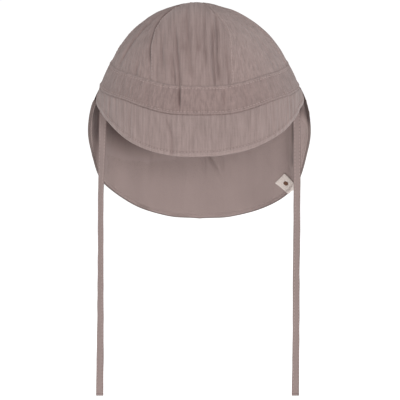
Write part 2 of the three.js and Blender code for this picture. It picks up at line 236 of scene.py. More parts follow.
def edge_rings(outer, inner, loop, inward):
    """Points on half circles from the outer to the inner side, one ring for each turn."""
    middle, half = (outer[loop] + inner[loop]) / 2, (outer[loop] - inner[loop]) / 2
    away = outer[loop] - outer[inward]
    size = np.linalg.norm(half, axis=1, keepdims=True)
    away -= half * (away * half).sum(1, keepdims=True) / np.maximum(size**2, 1e-18)
    away /= np.maximum(np.linalg.norm(away, axis=1, keepdims=True), 1e-12)
    return [middle + half * math.cos(turn) + away * size * math.sin(turn) for turn in EDGE_TURNS]


def cloth_wall(name, outer, inner, flat, materials, ring=False, edge=0, lined=None):
    """A closed cloth wall from two grids of points, with round edges where the cloth ends.

    outer and inner are (columns, rows, 3) grids; a ring joins its last column to its first.
    edge is the number of the round edges' material, lined the inner side's own cloth places."""
    columns, rows = outer.shape[:2]
    count = columns * rows
    points = [outer.reshape(-1, 3), inner.reshape(-1, 3)]
    cloth = [flat.reshape(-1, 3), (flat if lined is None else lined).reshape(-1, 3)]
    number = np.arange(count).reshape(columns, rows)
    quads, sides = [], []

    def lay(a, b, c, d, side):
        quads.append(np.stack([a.ravel(), b.ravel(), c.ravel(), d.ravel()], 1))
        sides.append(np.full(a.size, side))

    near = number if ring else number[:-1]
    far = np.roll(number, -1, 0) if ring else number[1:]
    lay(near[:, :-1], far[:, :-1], far[:, 1:], near[:, 1:], 0)
    lay(count + near[:, :-1], count + near[:, 1:], count + far[:, 1:], count + far[:, :-1], 1)

    borders = [whole_border(number)]
    if ring:
        borders = [(number[:, 0], number[:, 1]), (number[::-1, -1], number[::-1, -2])]
    made = 2 * count
    for loop, inward in borders:
        rings = [loop]
        for turned in edge_rings(points[0], points[1], loop, inward):
            points.append(turned)
            cloth.append(cloth[1][loop])
            rings.append(made + np.arange(len(loop)))
            made += len(loop)
        rings.append(count + loop)
        for upper, lower in zip(rings, rings[1:]):
            lay(upper, lower, np.roll(lower, -1), np.roll(upper, -1), edge)
    return mesh_piece(name, np.concatenate(points), np.concatenate(quads), np.concatenate(cloth),
                      np.concatenate(sides), materials)


print("rings on each round edge:", len(EDGE_TURNS))

# %% [markdown]
# ## Fabric finishes
# Muslin is a loose plain weave whose yarns differ in thickness, and washing shrinks it into fine
# crinkles that run with the warp. The finish therefore has layers of one idea at different
# scales: long slubs, finer streaks, the weave itself and a little fuzz. They all read the place
# on the flat cloth, so they follow each piece round its curves. Relief does most of the work and
# the colour changes only a little, as on real washed cotton.

# %% Colours of cloth and thread
# the lining's mauve, then the light and the deep yarns of the muslin, and its calmer mixture
MAUVE = (0.300, 0.231, 0.217)
MAUVE_LIGHT = (0.335, 0.258, 0.243)
MAUVE_DEEP = (0.238, 0.180, 0.168)
MAUVE_CALM = (0.337, 0.254, 0.238)
# painted shade colour of the flap's round hem edge
EDGE_SHADE = (0.170, 0.127, 0.118)
CREAM = (0.72, 0.64, 0.595)
BROWN = (0.155, 0.075, 0.048)


def darker(colour, share):
    return tuple(c * share for c in colour)


# painted shade: the colour that folds and corners are mixed towards
def painted_shade_colour(colour, share):
    """The painted shade colour deep in a fold: darker, and warmer as light bouncing from cloth to cloth."""
    red, green, blue = darker(colour, share)
    return (red * 1.4, green * 0.9, blue * 0.84)


print("deep in a fold:", [round(c, 3) for c in painted_shade_colour(MAUVE_DEEP, 0.25)])

# %% [markdown]
# Wiring nodes one by one makes a long script in which the idea is hard to see. A small class that
# adds a node, links what it is given and hands back the output keeps each finish down to a few
# lines. What is the same all over a cloth, its roughness and its sheen, goes straight to the
# shader's own sockets.

# %% A helper that wires a finish
class Finish:
    """Small helper that wires shader nodes by name."""

    SPECULAR = 0.22
    SHEEN_ROUGHNESS = 0.5

    def __init__(self, name, roughness, sheen):
        self.material = bpy.data.materials.new(name)
        self.material.use_nodes = True
        self.tree = self.material.node_tree
        self.shader = self.tree.nodes["Principled BSDF"]
        self.shader.inputs["Roughness"].default_value = roughness
        self.shader.inputs["Specular IOR Level"].default_value = self.SPECULAR
        self.shader.inputs["Sheen Weight"].default_value = sheen
        self.shader.inputs["Sheen Roughness"].default_value = self.SHEEN_ROUGHNESS
        self.place = self.node("ShaderNodeAttribute", attribute_name="cloth").outputs["Vector"]

    def node(self, kind, inputs=None, **settings):
        made = self.tree.nodes.new(kind)
        for key, value in settings.items():
            setattr(made, key, value)
        for key, value in (inputs or {}).items():
            if isinstance(value, bpy.types.NodeSocket):
                self.tree.links.new(value, made.inputs[key])
            else:
                made.inputs[key].default_value = value
        return made

    def math(self, operation, a, b=0.0):
        return self.node("ShaderNodeMath", {0: a, 1: b}, operation=operation).outputs[0]

    def noise(self, across_mm, along_mm, detail=2.0):
        scaled = self.node("ShaderNodeVectorMath",
                           {0: self.place, 1: (1 / across_mm, 1 / along_mm, 1.0)}, operation="MULTIPLY")
        return self.node("ShaderNodeTexNoise", {
            "Vector": scaled.outputs[0], "Scale": 1.0, "Detail": detail, "Roughness": 0.55}).outputs["Fac"]

    def weave(self, size_mm):
        apart = self.node("ShaderNodeSeparateXYZ", {0: self.place})
        turn = 2 * math.pi / size_mm
        warp = self.math("SINE", self.math("MULTIPLY", apart.outputs[0], turn))
        weft = self.math("SINE", self.math("MULTIPLY", apart.outputs[1], turn))
        return self.math("MULTIPLY", warp, weft)

    def shade(self):
        """The share of painted shade, kept as the fraction of the place's third number."""
        apart = self.node("ShaderNodeSeparateXYZ", {0: self.place})
        return self.math("FRACT", apart.outputs[2])

    def bump(self, height, depth_mm, below=None):
        inputs = {"Height": height, "Distance": depth_mm * MM, "Strength": 1.0}
        if below is not None:
            inputs["Normal"] = below
        return self.node("ShaderNodeBump", inputs).outputs[0]

    def colour_mix(self, share, a, b):
        made = self.node("ShaderNodeMix", data_type="RGBA")
        for socket, value in ((made.inputs[0], share), (made.inputs[6], a), (made.inputs[7], b)):
            if isinstance(value, bpy.types.NodeSocket):
                self.tree.links.new(value, socket)
            else:
                socket.default_value = (*value, 1.0) if isinstance(value, tuple) else value
        return made.outputs[2]

    def spread(self, value, low, high, to_low, to_high):
        return self.node("ShaderNodeMapRange", {"Value": value, "From Min": low, "From Max": high,
                                                "To Min": to_low, "To Max": to_high}).outputs[0]

    def dress(self, tone, light, dark, deep, normal):
        """Tone mixes dark to light, and the place's painted shade then mixes that to the deep colour."""
        colour = self.colour_mix(self.shade(), self.colour_mix(tone, dark, light), deep)
        self.tree.links.new(colour, self.shader.inputs["Base Color"])
        self.tree.links.new(normal, self.shader.inputs["Normal"])
        return self.material


print("a finish can:", [name for name in vars(Finish) if name.islower() and name[0] != "_"])

# %% [markdown]
# The outside is muslin with all its layers. The front gore and the peak show long strong
# crinkles, while the other gores and the band look calmer, with shorter ones, so they take a calm
# muslin of their own. Lining, tape, thread and label are smooth cloths that differ in colour
# only, so one function serves them all; the thread is painted lighter than the cloth, a painted
# highlight for the light its raised stitches catch. The hem's round edge gets a darker painted
# shade, which draws a thin dark line round the flap.

# %% Muslin and smooth cloth
WEAVE_MM = 0.62
LINING_WEAVE_MM = 0.45


def muslin_finish(name, light, dark, streak_mm=0.4, crinkle_mm=0.8, run=1.0):
    """Muslin; run shortens the crinkles and streaks along the warp."""
    finish = Finish(name, roughness=0.92, sheen=0.18)
    crinkle = finish.noise(across_mm=2.6, along_mm=34.0 * run, detail=3.0)
    streak = finish.noise(across_mm=1.15, along_mm=18.0 * run, detail=2.0)
    weft_slub = finish.noise(across_mm=9.0, along_mm=0.8, detail=1.0)
    fuzz = finish.noise(across_mm=0.3, along_mm=0.3, detail=1.0)
    tone = finish.math("ADD", finish.spread(crinkle, 0.35, 0.65, 0.0, 0.5),
                       finish.spread(streak, 0.35, 0.65, 0.0, 0.5))
    tone = finish.math("ADD", tone, finish.spread(weft_slub, 0.3, 0.7, -0.08, 0.08))
    tone = finish.math("ADD", tone, finish.spread(fuzz, 0.3, 0.7, -0.07, 0.07))
    normal = finish.bump(crinkle, crinkle_mm)
    normal = finish.bump(streak, streak_mm, normal)
    normal = finish.bump(finish.weave(WEAVE_MM), 0.06, normal)
    normal = finish.bump(fuzz, 0.07, normal)
    return finish.dress(tone, light, dark, painted_shade_colour(dark, 0.25), normal)


def smooth_finish(name, light, dark):
    finish = Finish(name, roughness=0.9, sheen=0.12)
    cloud = finish.noise(across_mm=16.0, along_mm=40.0)
    streak = finish.noise(across_mm=0.7, along_mm=9.0)
    tone = finish.math("ADD", finish.spread(cloud, 0.3, 0.7, 0.1, 0.6),
                       finish.spread(streak, 0.3, 0.7, 0.1, 0.35))
    normal = finish.bump(cloud, 0.5)
    normal = finish.bump(streak, 0.05, normal)
    normal = finish.bump(finish.weave(LINING_WEAVE_MM), 0.025, normal)
    return finish.dress(tone, light, dark, painted_shade_colour(dark, 0.12), normal)


muslin = muslin_finish("muslin", MAUVE_LIGHT, MAUVE_DEEP)
calm_muslin = muslin_finish("calm_muslin", MAUVE_CALM, darker(MAUVE_CALM, 0.68),
                            streak_mm=0.5, crinkle_mm=1.0, run=0.25)
lining = smooth_finish("lining", darker(MAUVE, 1.08), darker(MAUVE, 0.96))
tape = smooth_finish("tie_tape", darker(MAUVE, 0.97), darker(MAUVE, 0.85))
# the thread is painted lighter than the cloth: a painted highlight where raised stitches catch the light
thread = smooth_finish("thread", darker(MAUVE, 1.35), darker(MAUVE, 1.2))
label_cloth = smooth_finish("label_tape", CREAM, darker(CREAM, 0.88))
mark_thread = smooth_finish("mark_thread", BROWN, darker(BROWN, 0.8))
# the hem's round edge: a painted shade that draws a dark line round the flap
hem_painted_shade = smooth_finish("hem_painted_shade", EDGE_SHADE, darker(EDGE_SHADE, 0.8))
FINISHES = (muslin, calm_muslin, lining, tape, thread, label_cloth, mark_thread, hem_painted_shade)
print("fabric finishes:", [finish.name for finish in FINISHES])

# %% [markdown]
# ## The shape of the crown
# The crown is a leaning dome: its top sits a little behind the middle of the head. One curve
# gives its side view. Lathing that curve would give a perfect bowl, and a sewn crown isn't one:
# its top is tilted, fuller over the brow and flatter behind. So the dome is a function of an angle
# round the head and a step up the curve, and all the pieces are cut from it.

# %% The dome
RIM_HALF_WIDTH = 82 * MM
RIM_HALF_DEPTH = 83 * MM
CROWN_HEIGHT = 73 * MM
APEX_BACK = 17 * MM
APEX_LEFT = 2.2 * MM

# radius and height, as shares of the rim's half sizes and of CROWN_HEIGHT
CROWN_PROFILE = np.array([
    (1, 0), (0.945, 0.15), (0.882, 0.3), (0.804, 0.45), (0.708, 0.6), (0.61, 0.708),
    (0.508, 0.794), (0.38, 0.878), (0.255, 0.927), (0.13, 0.963), (0.004, 0.976)])
# the tilt's height, and the share of the radius out to which it reaches
TOP_TILT = 4.2 * MM
TILT_REACH = 0.8


def profile_at(step):
    """Radius and height shares at a step from 0, the rim, to 1, the top of the crown."""
    last = len(CROWN_PROFILE) - 1
    place = np.clip(np.asarray(step, float), 0, 1) * last
    cell = np.clip(np.floor(place).astype(int), 0, last - 1)
    t = (place - cell)[..., None]
    before = CROWN_PROFILE[np.maximum(cell - 1, 0)]
    start, end = CROWN_PROFILE[cell], CROWN_PROFILE[cell + 1]
    after = CROWN_PROFILE[np.minimum(cell + 2, last)]
    leave, arrive = (end - before) / 2, (after - start) / 2
    found = ((2 * start - 2 * end + leave + arrive) * t**3
             + (3 * end - 3 * start - 2 * leave - arrive) * t**2 + leave * t + start)
    return found[..., 0], found[..., 1]


def dome(angle, step):
    """A point of the crown, at degrees from the brow towards the viewer's right and a step up."""
    radius, height = profile_at(step)
    turn = np.radians(angle)
    out = np.clip(radius / TILT_REACH, 0, 1)
    # out * (1 - out)**2 is 1 / 6.75 at its highest
    tilt = TOP_TILT * 6.75 * out * (1 - out) ** 2 * np.cos(turn)
    return np.stack([
        RIM_HALF_WIDTH * radius * np.sin(turn) - APEX_LEFT * height**2,
        APEX_BACK * height**2 - RIM_HALF_DEPTH * radius * np.cos(turn),
        CROWN_HEIGHT * height + tilt], -1)


def dome_normal(angle, step):
    return face_normals(dome, angle, np.clip(step, 2e-3, 0.985))


print("top of the dome, in mm:", (dome(0.0, 1.0) / MM).round(1))

# %% [markdown]
# Six seams part the crown into gores and meet at its top. The two beside the front gore swing
# outwards as they climb, so that gore keeps its width up to half its height, while the others run
# nearly straight up. The band is the lowest strip of the same dome, between two seams that dip at
# the brow.

# %% Seams
BAND_HEIGHT = 20.8 * MM
BAND_TOP_RISE = 4.2 * MM
BAND_BOTTOM_RISE = 6.5 * MM
# the angle of each gore's left seam, in degrees, at these steps up the crown
SEAM_STEPS = (0.2, 0.32, 0.4, 0.5, 0.6, 0.7, 0.8, 1)
GORE_SEAMS = {
    "front": (-32.5, -36.5, -41, -46, -51, -54, -55, -56),
    "front_right": (20.5, 22.5, 25, 29, 31.5, 28.5, 28, 30),
    "back_right": (82, 82, 83, 84, 85, 86, 87, 88),
    "back": (142, 142, 142, 143, 143, 144, 144, 145),
    "back_left": (202, 202, 202, 202, 202, 202, 202, 202),
    "front_left": (262, 262, 261, 260, 259, 258, 257, 256),
}
# heights at many steps, to find a step from a height
CLIMB = np.linspace(0, 0.8, 2001)
CLIMB_HEIGHTS = profile_at(CLIMB)[1] * CROWN_HEIGHT


def step_at(height):
    """The step up the dome's curve at a height in metres."""
    return np.interp(height, CLIMB_HEIGHTS, CLIMB)


def wrap(angle):
    """An angle in degrees, turned back to lie between -180 and 180."""
    return (np.asarray(angle, float) + 180) % 360 - 180


def seam_rise(angle):
    """0 at the brow, where the band's seams dip, and 1 from the temples round the nape."""
    return ease(np.abs(wrap(angle)), 12, 54)


def band_bottom(angle):
    return BAND_BOTTOM_RISE * seam_rise(angle)


def band_top(angle):
    return BAND_HEIGHT + BAND_TOP_RISE * seam_rise(angle)


def seam_angle(seam, step):
    """A seam's angle at a step, from its row of GORE_SEAMS."""
    return read_table(list(zip(SEAM_STEPS, seam)), step, 1)


print("rim round the head, in mm:", round(math.pi * (RIM_HALF_WIDTH + RIM_HALF_DEPTH) / MM))

# %% [markdown]
# ## Crinkles and creases
# Two kinds of relief shape the muslin. Crinkles are long shallow valleys a few millimetres apart
# that wander and fade; we make them from a folded sine with sharp valleys and round ridges. Bump
# in the material would be cheaper, but it vanishes at the outline and in the exported mesh.
# Creases are single deeper folds, each in a place that the photograph shows, so they sit in short
# tables of their own.

# %% Tables of creases
# angle in degrees, low and high as shares of CROWN_HEIGHT, half width and depth in mm
CREASES = [
    (-46.5, 0.34, 0.52, 1.8, 1.0),
    (-67.0, 0.40, 0.88, 2.0, 1.5),
    (-80.0, 0.35, 0.80, 2.4, 0.9),
    (61.0, 0.45, 0.90, 2.2, 0.7),
    (105.0, 0.35, 0.85, 2.4, 0.9),
    (168.0, 0.33, 0.80, 2.4, 0.9),
    (-130.0, 0.35, 0.82, 2.4, 1.0),
]
# x in mm at the foot, the middle and the top of the front gore, low, high, half width, depth
GROOVES = [
    (-28.5, -29.6, -27.0, 0.44, 0.74, 1.2, 1.3),
    (-19.6, -22.4, -21.5, 0.30, 0.62, 1.0, 1.9),
    (-15.7, -17.9, -18.7, 0.26, 0.80, 0.9, 2.3),
    (-6.2, -7.8, -9.4, 0.40, 0.94, 1.2, 1.2),
    (-1.5, -1.0, -0.6, 0.55, 0.84, 1.5, 0.9),
    (4.6, 4.5, 4.2, 0.45, 0.94, 1.0, 1.3),
    (11.9, 10.7, 9.2, 0.30, 0.80, 0.9, 2.2),
    (14.7, 14.2, 13.4, 0.33, 0.90, 1.0, 2.1),
    (23.0, 20.0, 17.2, 0.33, 0.62, 1.5, 1.3),
]
GROOVE_HEIGHTS = (0.35, 0.60, 0.88)
# x in mm, low, high, half width and depth of the band's own creases
BAND_GROOVES = [
    (-15.8, 0.07, 0.30, 0.7, 2.6),
    (-19.0, 0.03, 0.28, 1.4, 0.6),
    (12.6, 0.20, 0.30, 1.0, 0.9),
    (19.4, 0.08, 0.27, 1.1, 1.1),
    (-41.0, 0.05, 0.26, 1.2, 0.5),
    (36.0, 0.05, 0.26, 1.2, 0.4),
]
print("named creases:", len(CREASES) + len(GROOVES) + len(BAND_GROOVES))

# %% [markdown]
# A crease fades out at both ends. A groove of the front gore is steeper: its right side drops
# suddenly and its left side rises gently, as where one ridge of cloth has tipped over. Between the
# grooves run thin lines that wander, start and stop.

# %% Creases and grooves
def span(height, low, high):
    """1 between two heights, fading to 0 just outside them."""
    return ease(height, low - 0.08, low + 0.09) * (1 - ease(height, high - 0.14, high + 0.07))


def creases(angle, height, radius):
    """Depth of the named creases of the side and back gores."""
    depth = np.zeros(np.broadcast(angle, height, radius).shape)
    for at, low, high, width, deep in CREASES:
        off = np.abs(wrap(angle - at)) * np.radians(1) * radius / (width * MM)
        depth = depth + deep * MM * np.exp(-off**1.4) * span(height, low, high)
    return depth


def groove(x_mm, at, width, deep):
    """A groove that is steep on the right and slopes gently up on the left."""
    off = (x_mm - at) / width
    steep, gentle = np.exp(-np.abs(off) ** 1.5), np.exp(-np.abs(off / 1.7) ** 1.3)
    return deep * MM * np.where(off > 0, steep, gentle)


def front_grooves(x_mm, height):
    """Depth of the front gore's grooves, which wander a little on their way up."""
    depth = np.zeros(np.broadcast(x_mm, height).shape)
    for foot, middle, top, low, high, width, deep in GROOVES:
        at = np.interp(height, GROOVE_HEIGHTS, (foot, middle, top))
        at = at + 0.7 * soft_noise(height * 9, foot, 41)
        depth = depth + groove(x_mm, at, width, deep) * span(height, low, high)
    return depth


def fine_lines(x_mm, height):
    """Share from 0 to 1 for the thin lines between the grooves, which wander, start and stop."""
    wave = soft_noise(x_mm / 4.2, height * 4, 47)
    return bell(wave, 0, 0.16) * ease(soft_noise(x_mm / 6, height * 6, 48), -0.5, 0.5)


def band_grooves(x_mm, height, angle):
    """Depth of the band's own creases, which are at the brow only."""
    brow = ease(np.cos(np.radians(angle)), 0, 0.3)
    depth = np.zeros(np.broadcast(x_mm, height).shape)
    for at, low, high, width, deep in BAND_GROOVES:
        depth = depth + groove(x_mm, at, width, deep) * span(height, low, high) * brow
    return depth


print("deepest front groove, in mm:", (front_grooves(np.arange(-30, 30, 0.1), 0.6).max() / MM).round(1))

# %% [markdown]
# Three more kinds of relief come back on every piece: the crinkles themselves, the puckers beside
# a seam, where the thread draws the cloth up, and the roll with which cloth turns down into a
# seam. A second set of crinkles, much closer together, gives the fine grain of washed muslin.

# %% Crinkles, puckers and rolls
FINE_CRINKLE = 1.7


def crinkles(across_mm, along_mm, spacing, seed, sharp=0.6):
    """Crinkle relief from about -0.6 to 0.4: round ridges between sharp wandering valleys."""
    wander = 0.75 * soft_noise(across_mm / 15, along_mm / 40, seed)
    wander = wander + 0.14 * soft_noise(across_mm / 5, along_mm / 12, seed + 1)
    ridge = np.abs(np.sin(math.pi * (across_mm / spacing + wander))) ** sharp
    fade = 0.62 + 0.75 * soft_noise(across_mm / 7, along_mm / 24, seed + 2)
    return (ridge - 0.65) * np.clip(fade, 0.05, 1.2)


def puckers(along_mm, distance_mm, seed):
    """Little bumps beside a seam, where the thread draws the cloth up."""
    return bell(distance_mm, 2.6, 2.2) * soft_noise(along_mm / 3.2, distance_mm / 6, seed)


def seam_roll(distance, depth, width):
    """How far cloth turns down into a seam at a distance from it."""
    return depth * np.exp(-(np.maximum(distance, 0) / width) ** 1.5)


print("crinkles run from", crinkles(np.arange(0, 90, 0.1), 5, 4.6, 0).round(2).min(), "to",
      crinkles(np.arange(0, 90, 0.1), 5, 4.6, 0).round(2).max())

# %% [markdown]
# ## The crown's gores
# Each gore is a panel that narrows to a point. The seams pull it down along both sides and it
# puffs up between them. The front gore has the strongest crinkles in the photograph, and its left seam is
# a deep fold, so the neighbour beside it sinks under its edge there. First we find where a share
# across and a share up a gore lie on the dome, and which way the yarns run there.

# %% Sizes and grain of the gores
SEAM_GAP = 0.05 * MM
GORE_NAMES = list(GORE_SEAMS)
GORE_CUT_RADIUS_MM = 72


def next_seam(name):
    """The seam on a gore's right, which is the next gore's left one."""
    return GORE_SEAMS[GORE_NAMES[(GORE_NAMES.index(name) + 1) % len(GORE_NAMES)]]


def gore_place(name, u, v):
    """Angle, step and width of a gore at a share across and a share up."""
    seam, after = GORE_SEAMS[name], next_seam(name)
    band_width = (after[0] - seam[0]) % 360
    start = step_at(band_top(seam[0] + band_width * np.clip(u, 0, 1)) + SEAM_GAP)
    step = mix(start, 1.0, v)
    left = seam_angle(seam, step)
    width = (seam_angle(after, step) - left) % 360
    radius = profile_at(step)[0] * RIM_HALF_WIDTH
    return left + width * u, step, np.radians(width) * radius


def gore_grain(name, u, point):
    """Distance across the cloth's grain in mm. The front gore is cut with the grain upright."""
    if name == "front":
        return point[..., 0] / MM
    return u * np.radians((next_seam(name)[0] - GORE_SEAMS[name][0]) % 360) * GORE_CUT_RADIUS_MM


print("gore widths at the band, in mm:",
      {name: int(gore_place(name, 0.5, 0.0)[2] / MM) for name in GORE_NAMES})

# %% [markdown]
# The face of a gore adds its relief in layers: the puff between the seams, the named creases, the
# rolls into the seams, and then the fine layers. The inner side of the wall asks for the same face
# without the fine layers, because crinkles on two sides of thin cloth would cut through it.

# %% The face of a gore
GORE_PUFF = 0.9 * MM
GORE_LENGTH_MM = 95
# crinkle spacing and depth in mm
GORE_CRINKLES = {
    "front": (4.9, 0.35), "front_right": (5.2, 0.3), "back_right": (4.6, 0.55),
    "back": (5.0, 0.55), "back_left": (4.6, 0.55), "front_left": (4.2, 0.45)}


def gore_face(name, fine=True):
    spacing, depth = GORE_CRINKLES[name]
    seed = 7 * GORE_NAMES.index(name)

    def face(u, v):
        angle, step, width = gore_place(name, u, v)
        radius, height = profile_at(step)
        point = dome(angle, step)
        inside = np.clip(u, 0, 1)
        up_mm = np.clip(v, 0, 1) * GORE_LENGTH_MM
        to_left, to_right = inside * width, (1 - inside) * width
        side = np.minimum(to_left, to_right)
        narrow = np.minimum(1, width / (12 * MM))
        full = np.sin(math.pi * inside) ** 0.6 * ease(up_mm, 0, 11)
        relief = GORE_PUFF * full * np.minimum(1, radius * 3.5)
        relief = relief - creases(angle, height, radius * RIM_HALF_WIDTH) * ease(side, 0, 3 * MM)
        relief = relief - seam_roll(side, depth=0.5 * MM, width=0.6 * MM) * narrow
        relief = relief - seam_roll(up_mm * MM, depth=0.55 * MM, width=0.45 * MM)
        gap = span(height, 0.44, 0.86)
        if name == "front_left":
            relief = relief - 1.3 * MM * np.exp(-to_right / (3.2 * MM)) * gap
        if name == "front":
            relief = relief + 0.7 * MM * bell(to_left / MM, 2.6, 2) * gap
        if fine:
            across = gore_grain(name, inside, point)
            strength = depth * MM * np.minimum(1, width / (16 * MM)) * ease(side, 0, 2 * MM)
            relief = relief + strength * crinkles(across, up_mm, spacing, seed)
            relief = relief + 0.3 * MM * narrow * crinkles(across, up_mm, FINE_CRINKLE, seed + 3)
            relief = relief + 0.45 * MM * narrow * puckers(up_mm, side / MM, seed + 5)
            relief = relief + 0.3 * MM * puckers(across, up_mm, seed + 6)
            if name == "front":
                lines = front_grooves(across, height) + 0.4 * MM * fine_lines(across, height)
                relief = relief - lines * ease(side, 0, 2.5 * MM)
        return point + dome_normal(angle, step) * relief[..., None]

    return face


print("middle of the front gore, in mm:", (gore_face("front")(0.5, 0.5) / MM).round(1))

# %% [markdown]
# Painted shade deepens the colour in the folds that the relief has made, and along the deep fold
# of the front gore's left seam. The front gore's close crinkles hold the most of it. The right
# front gore gets the least deep colour, and its top is painted lighter still, a painted highlight
# where the light falls.

# %% The painted shade of the gores
MOST_SHADE = 0.8
# folds this deep would be painted in nothing but the deep shade colour: creases, the front
# gore's grooves, and the creases of the band and the peak
CREASE_FULL_DEPTH = 6 * MM
GROOVE_FULL_DEPTH = 9 * MM
THIN_FULL_DEPTH = 5 * MM
# painted highlight: the height up to which the right front gore keeps its shade, and where it has lost it
RIGHT_SHADE_FADES = (0.45, 0.75)
SEAM_SHADE_SPAN = (0.5, 1.0)
# base share of deep colour on each gore, least on the right front gore: a painted highlight on the side the
# light falls
GORE_SHADES = {
    "front": 0.22, "front_right": 0.12, "back_right": 0.15, "back": 0.15, "back_left": 0.15,
    "front_left": 0.17}


def gore_shade(name, angle, step, width, u, grain):
    """Share of deep colour on a gore: a base share, painted shade in its folds and along the deep seam
    fold, and less high on the right front gore, a painted highlight.
    """
    radius, height = profile_at(step)
    shade = GORE_SHADES[name] + creases(angle, height, radius * RIM_HALF_WIDTH) / CREASE_FULL_DEPTH
    beside_seam = span(height, *SEAM_SHADE_SPAN)
    if name == "front":
        shade = shade + front_grooves(grain, height) / GROOVE_FULL_DEPTH + 0.16 * fine_lines(grain, height)
        # painted shade along the deep fold of the front gore's left seam
        shade = shade + 0.55 * bell(u * width, 0, 0.8 * MM) * beside_seam
    if name == "front_left":
        shade = shade + 0.6 * bell((1 - u) * width, 0, 1.4 * MM) * beside_seam
    if name == "front_right":
        shade = shade * (1 - ease(height, *RIGHT_SHADE_FADES))
    return np.clip(shade, 0, MOST_SHADE)


print("shade that each gore starts from:", GORE_SHADES)

# %% [markdown]
# Now the six gores themselves. A loop makes them, and each replaces the plain solid of its own
# name, which it hides.

# %% The six gores
WALL = 2 * MM
# columns and rows of points: the front gore gets the most, for its fine lines
FRONT_GRID = (150, 120)
OTHER_GRID = (122, 98)
# each piece's third number starts at its own ten, so no two pieces have the same flecks
PIECE_STEP = 10.0


def gore_piece(name):
    columns, rows = FRONT_GRID if name == "front" else OTHER_GRID
    u, v = np.meshgrid(crowded(columns, 0.6), crowded(rows, 0.5), indexing="ij")
    angle, step, width = gore_place(name, u, v)
    outer = gore_face(name)(u, v)
    inner = gore_face(name, fine=False)(u, v) - dome_normal(angle, step) * WALL
    grain = gore_grain(name, u, dome(angle, step))
    third = PIECE_STEP * GORE_NAMES.index(name) + gore_shade(name, angle, step, width, u, grain)
    flat = cloth_places(grain, v * GORE_LENGTH_MM, third)
    cloth = muslin if name == "front" else calm_muslin
    piece = cloth_wall(f"gore_{name}", outer, inner, flat, [cloth, lining])
    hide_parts(f"crown_gore_{name}")
    return piece


for gore_name in GORE_NAMES:
    gore = gore_piece(gore_name)
    print(gore.name, "faces:", len(gore.data.polygons))

# %% [markdown]
# ## The headband
# The band is one strip joined into a ring at the nape, so its grid starts and ends there too. Its
# two seams pull it in, each with a rolled ridge and a row of stitches, and it swells a little
# between them. The photograph shows one sharp vertical crease left of the middle.

# %% The face of the band
BAND_MM = 21
BAND_RADIUS_MM = 79
# crinkle spacing and depth in mm
BAND_CRINKLE = (4.2, 0.35)
BAND_TOP_ROW = 1.7
BAND_BOTTOM_ROW = 2.2
# seam (0 is the lower one), distance from it, half width and height of each ridge or row, in mm
BAND_LINES = [
    (0, 0.6, 0.6, 0.8), (1, 0.5, 0.5, 0.6), (0, BAND_BOTTOM_ROW, 0.5, -0.25),
    (1, BAND_TOP_ROW, 0.5, -0.2)]


def band_angle(u):
    """The strip starts and ends at the nape, where its joining seam is."""
    return np.asarray(u) * 360.0 - 180


def band_face(fine=True):
    def face(u, v):
        angle = band_angle(u)
        inside = np.clip(v, 0, 1)
        low, high = band_bottom(angle), band_top(angle) - SEAM_GAP
        step = step_at(mix(low, high, v))
        radius, height = profile_at(step)
        point = dome(angle, step)
        to_low, to_high = inside * (high - low) / MM, (1 - inside) * (high - low) / MM
        relief = 0.35 * MM * np.sin(math.pi * inside) ** 0.6
        for seam, at, width, ridge in BAND_LINES:
            relief = relief + ridge * MM * bell((to_low, to_high)[seam], at, width)
        relief = relief - band_grooves(point[..., 0] / MM, height, angle) * ease(to_low, 0, 2)
        if fine:
            across, along = np.radians(angle) * BAND_RADIUS_MM, inside * BAND_MM
            soft = ease(np.minimum(to_low, to_high), 0, 1.5)
            relief = relief + BAND_CRINKLE[1] * MM * crinkles(across, along, BAND_CRINKLE[0], 31) * soft
            relief = relief + 0.25 * MM * crinkles(across, along, FINE_CRINKLE, 37) * soft
            relief = relief + 0.3 * MM * puckers(across, to_low, 43)
            relief = relief + 0.25 * MM * puckers(across, to_high, 47)
        return point + dome_normal(angle, step) * relief[..., None]

    return face


print("brow of the band, in mm:", (band_face()(0.5, 0.5) / MM).round(1))

# %% [markdown]
# The band starts from a little more deep colour than the gores and gets painted shade in its
# creases, but its two rolled ridges are painted lighter, a painted highlight where they catch
# the light. It is a ring, so its wall has one round edge below and one above.

# %% The headband
BAND_COLUMNS = 900
BAND_ROWS = 34
BAND_SHADE = 0.26
# painted highlight: the share of deep colour that the rolled ridges lose
RIDGE_PAINTED_LIGHT = 0.2
CLOTH_NUMBERS = {"band": 80, "peak": 90, "flap": 100, "label": 110}


def band_piece():
    share = np.arange(BAND_COLUMNS) / BAND_COLUMNS
    u, v = np.meshgrid(share, crowded(BAND_ROWS, 0.6), indexing="ij")
    angle = band_angle(u)
    low, high = band_bottom(angle), band_top(angle) - SEAM_GAP
    step = step_at(mix(low, high, v))
    outer = band_face()(u, v)
    inner = band_face(fine=False)(u, v) - dome_normal(angle, step) * WALL
    x_mm, height = dome(angle, step)[..., 0] / MM, profile_at(step)[1]
    to_low, to_high = v * (high - low) / MM, (1 - v) * (high - low) / MM
    # painted shade in the band's creases, and a painted highlight on its rolled ridges
    rolled = bell(to_low, 0.7, 0.6) + bell(to_high, 0.9, 0.5)
    shade = BAND_SHADE + band_grooves(x_mm, height, angle) / THIN_FULL_DEPTH - RIDGE_PAINTED_LIGHT * rolled
    third = CLOTH_NUMBERS["band"] + np.clip(shade, 0, MOST_SHADE)
    flat = cloth_places(BAND_RADIUS_MM * np.radians(angle), v * BAND_MM, third)
    piece = cloth_wall("band", outer, inner, flat, [calm_muslin, lining], ring=True)
    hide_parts("headband")
    print(piece.name, "faces:", len(piece.data.polygons))


band_piece()

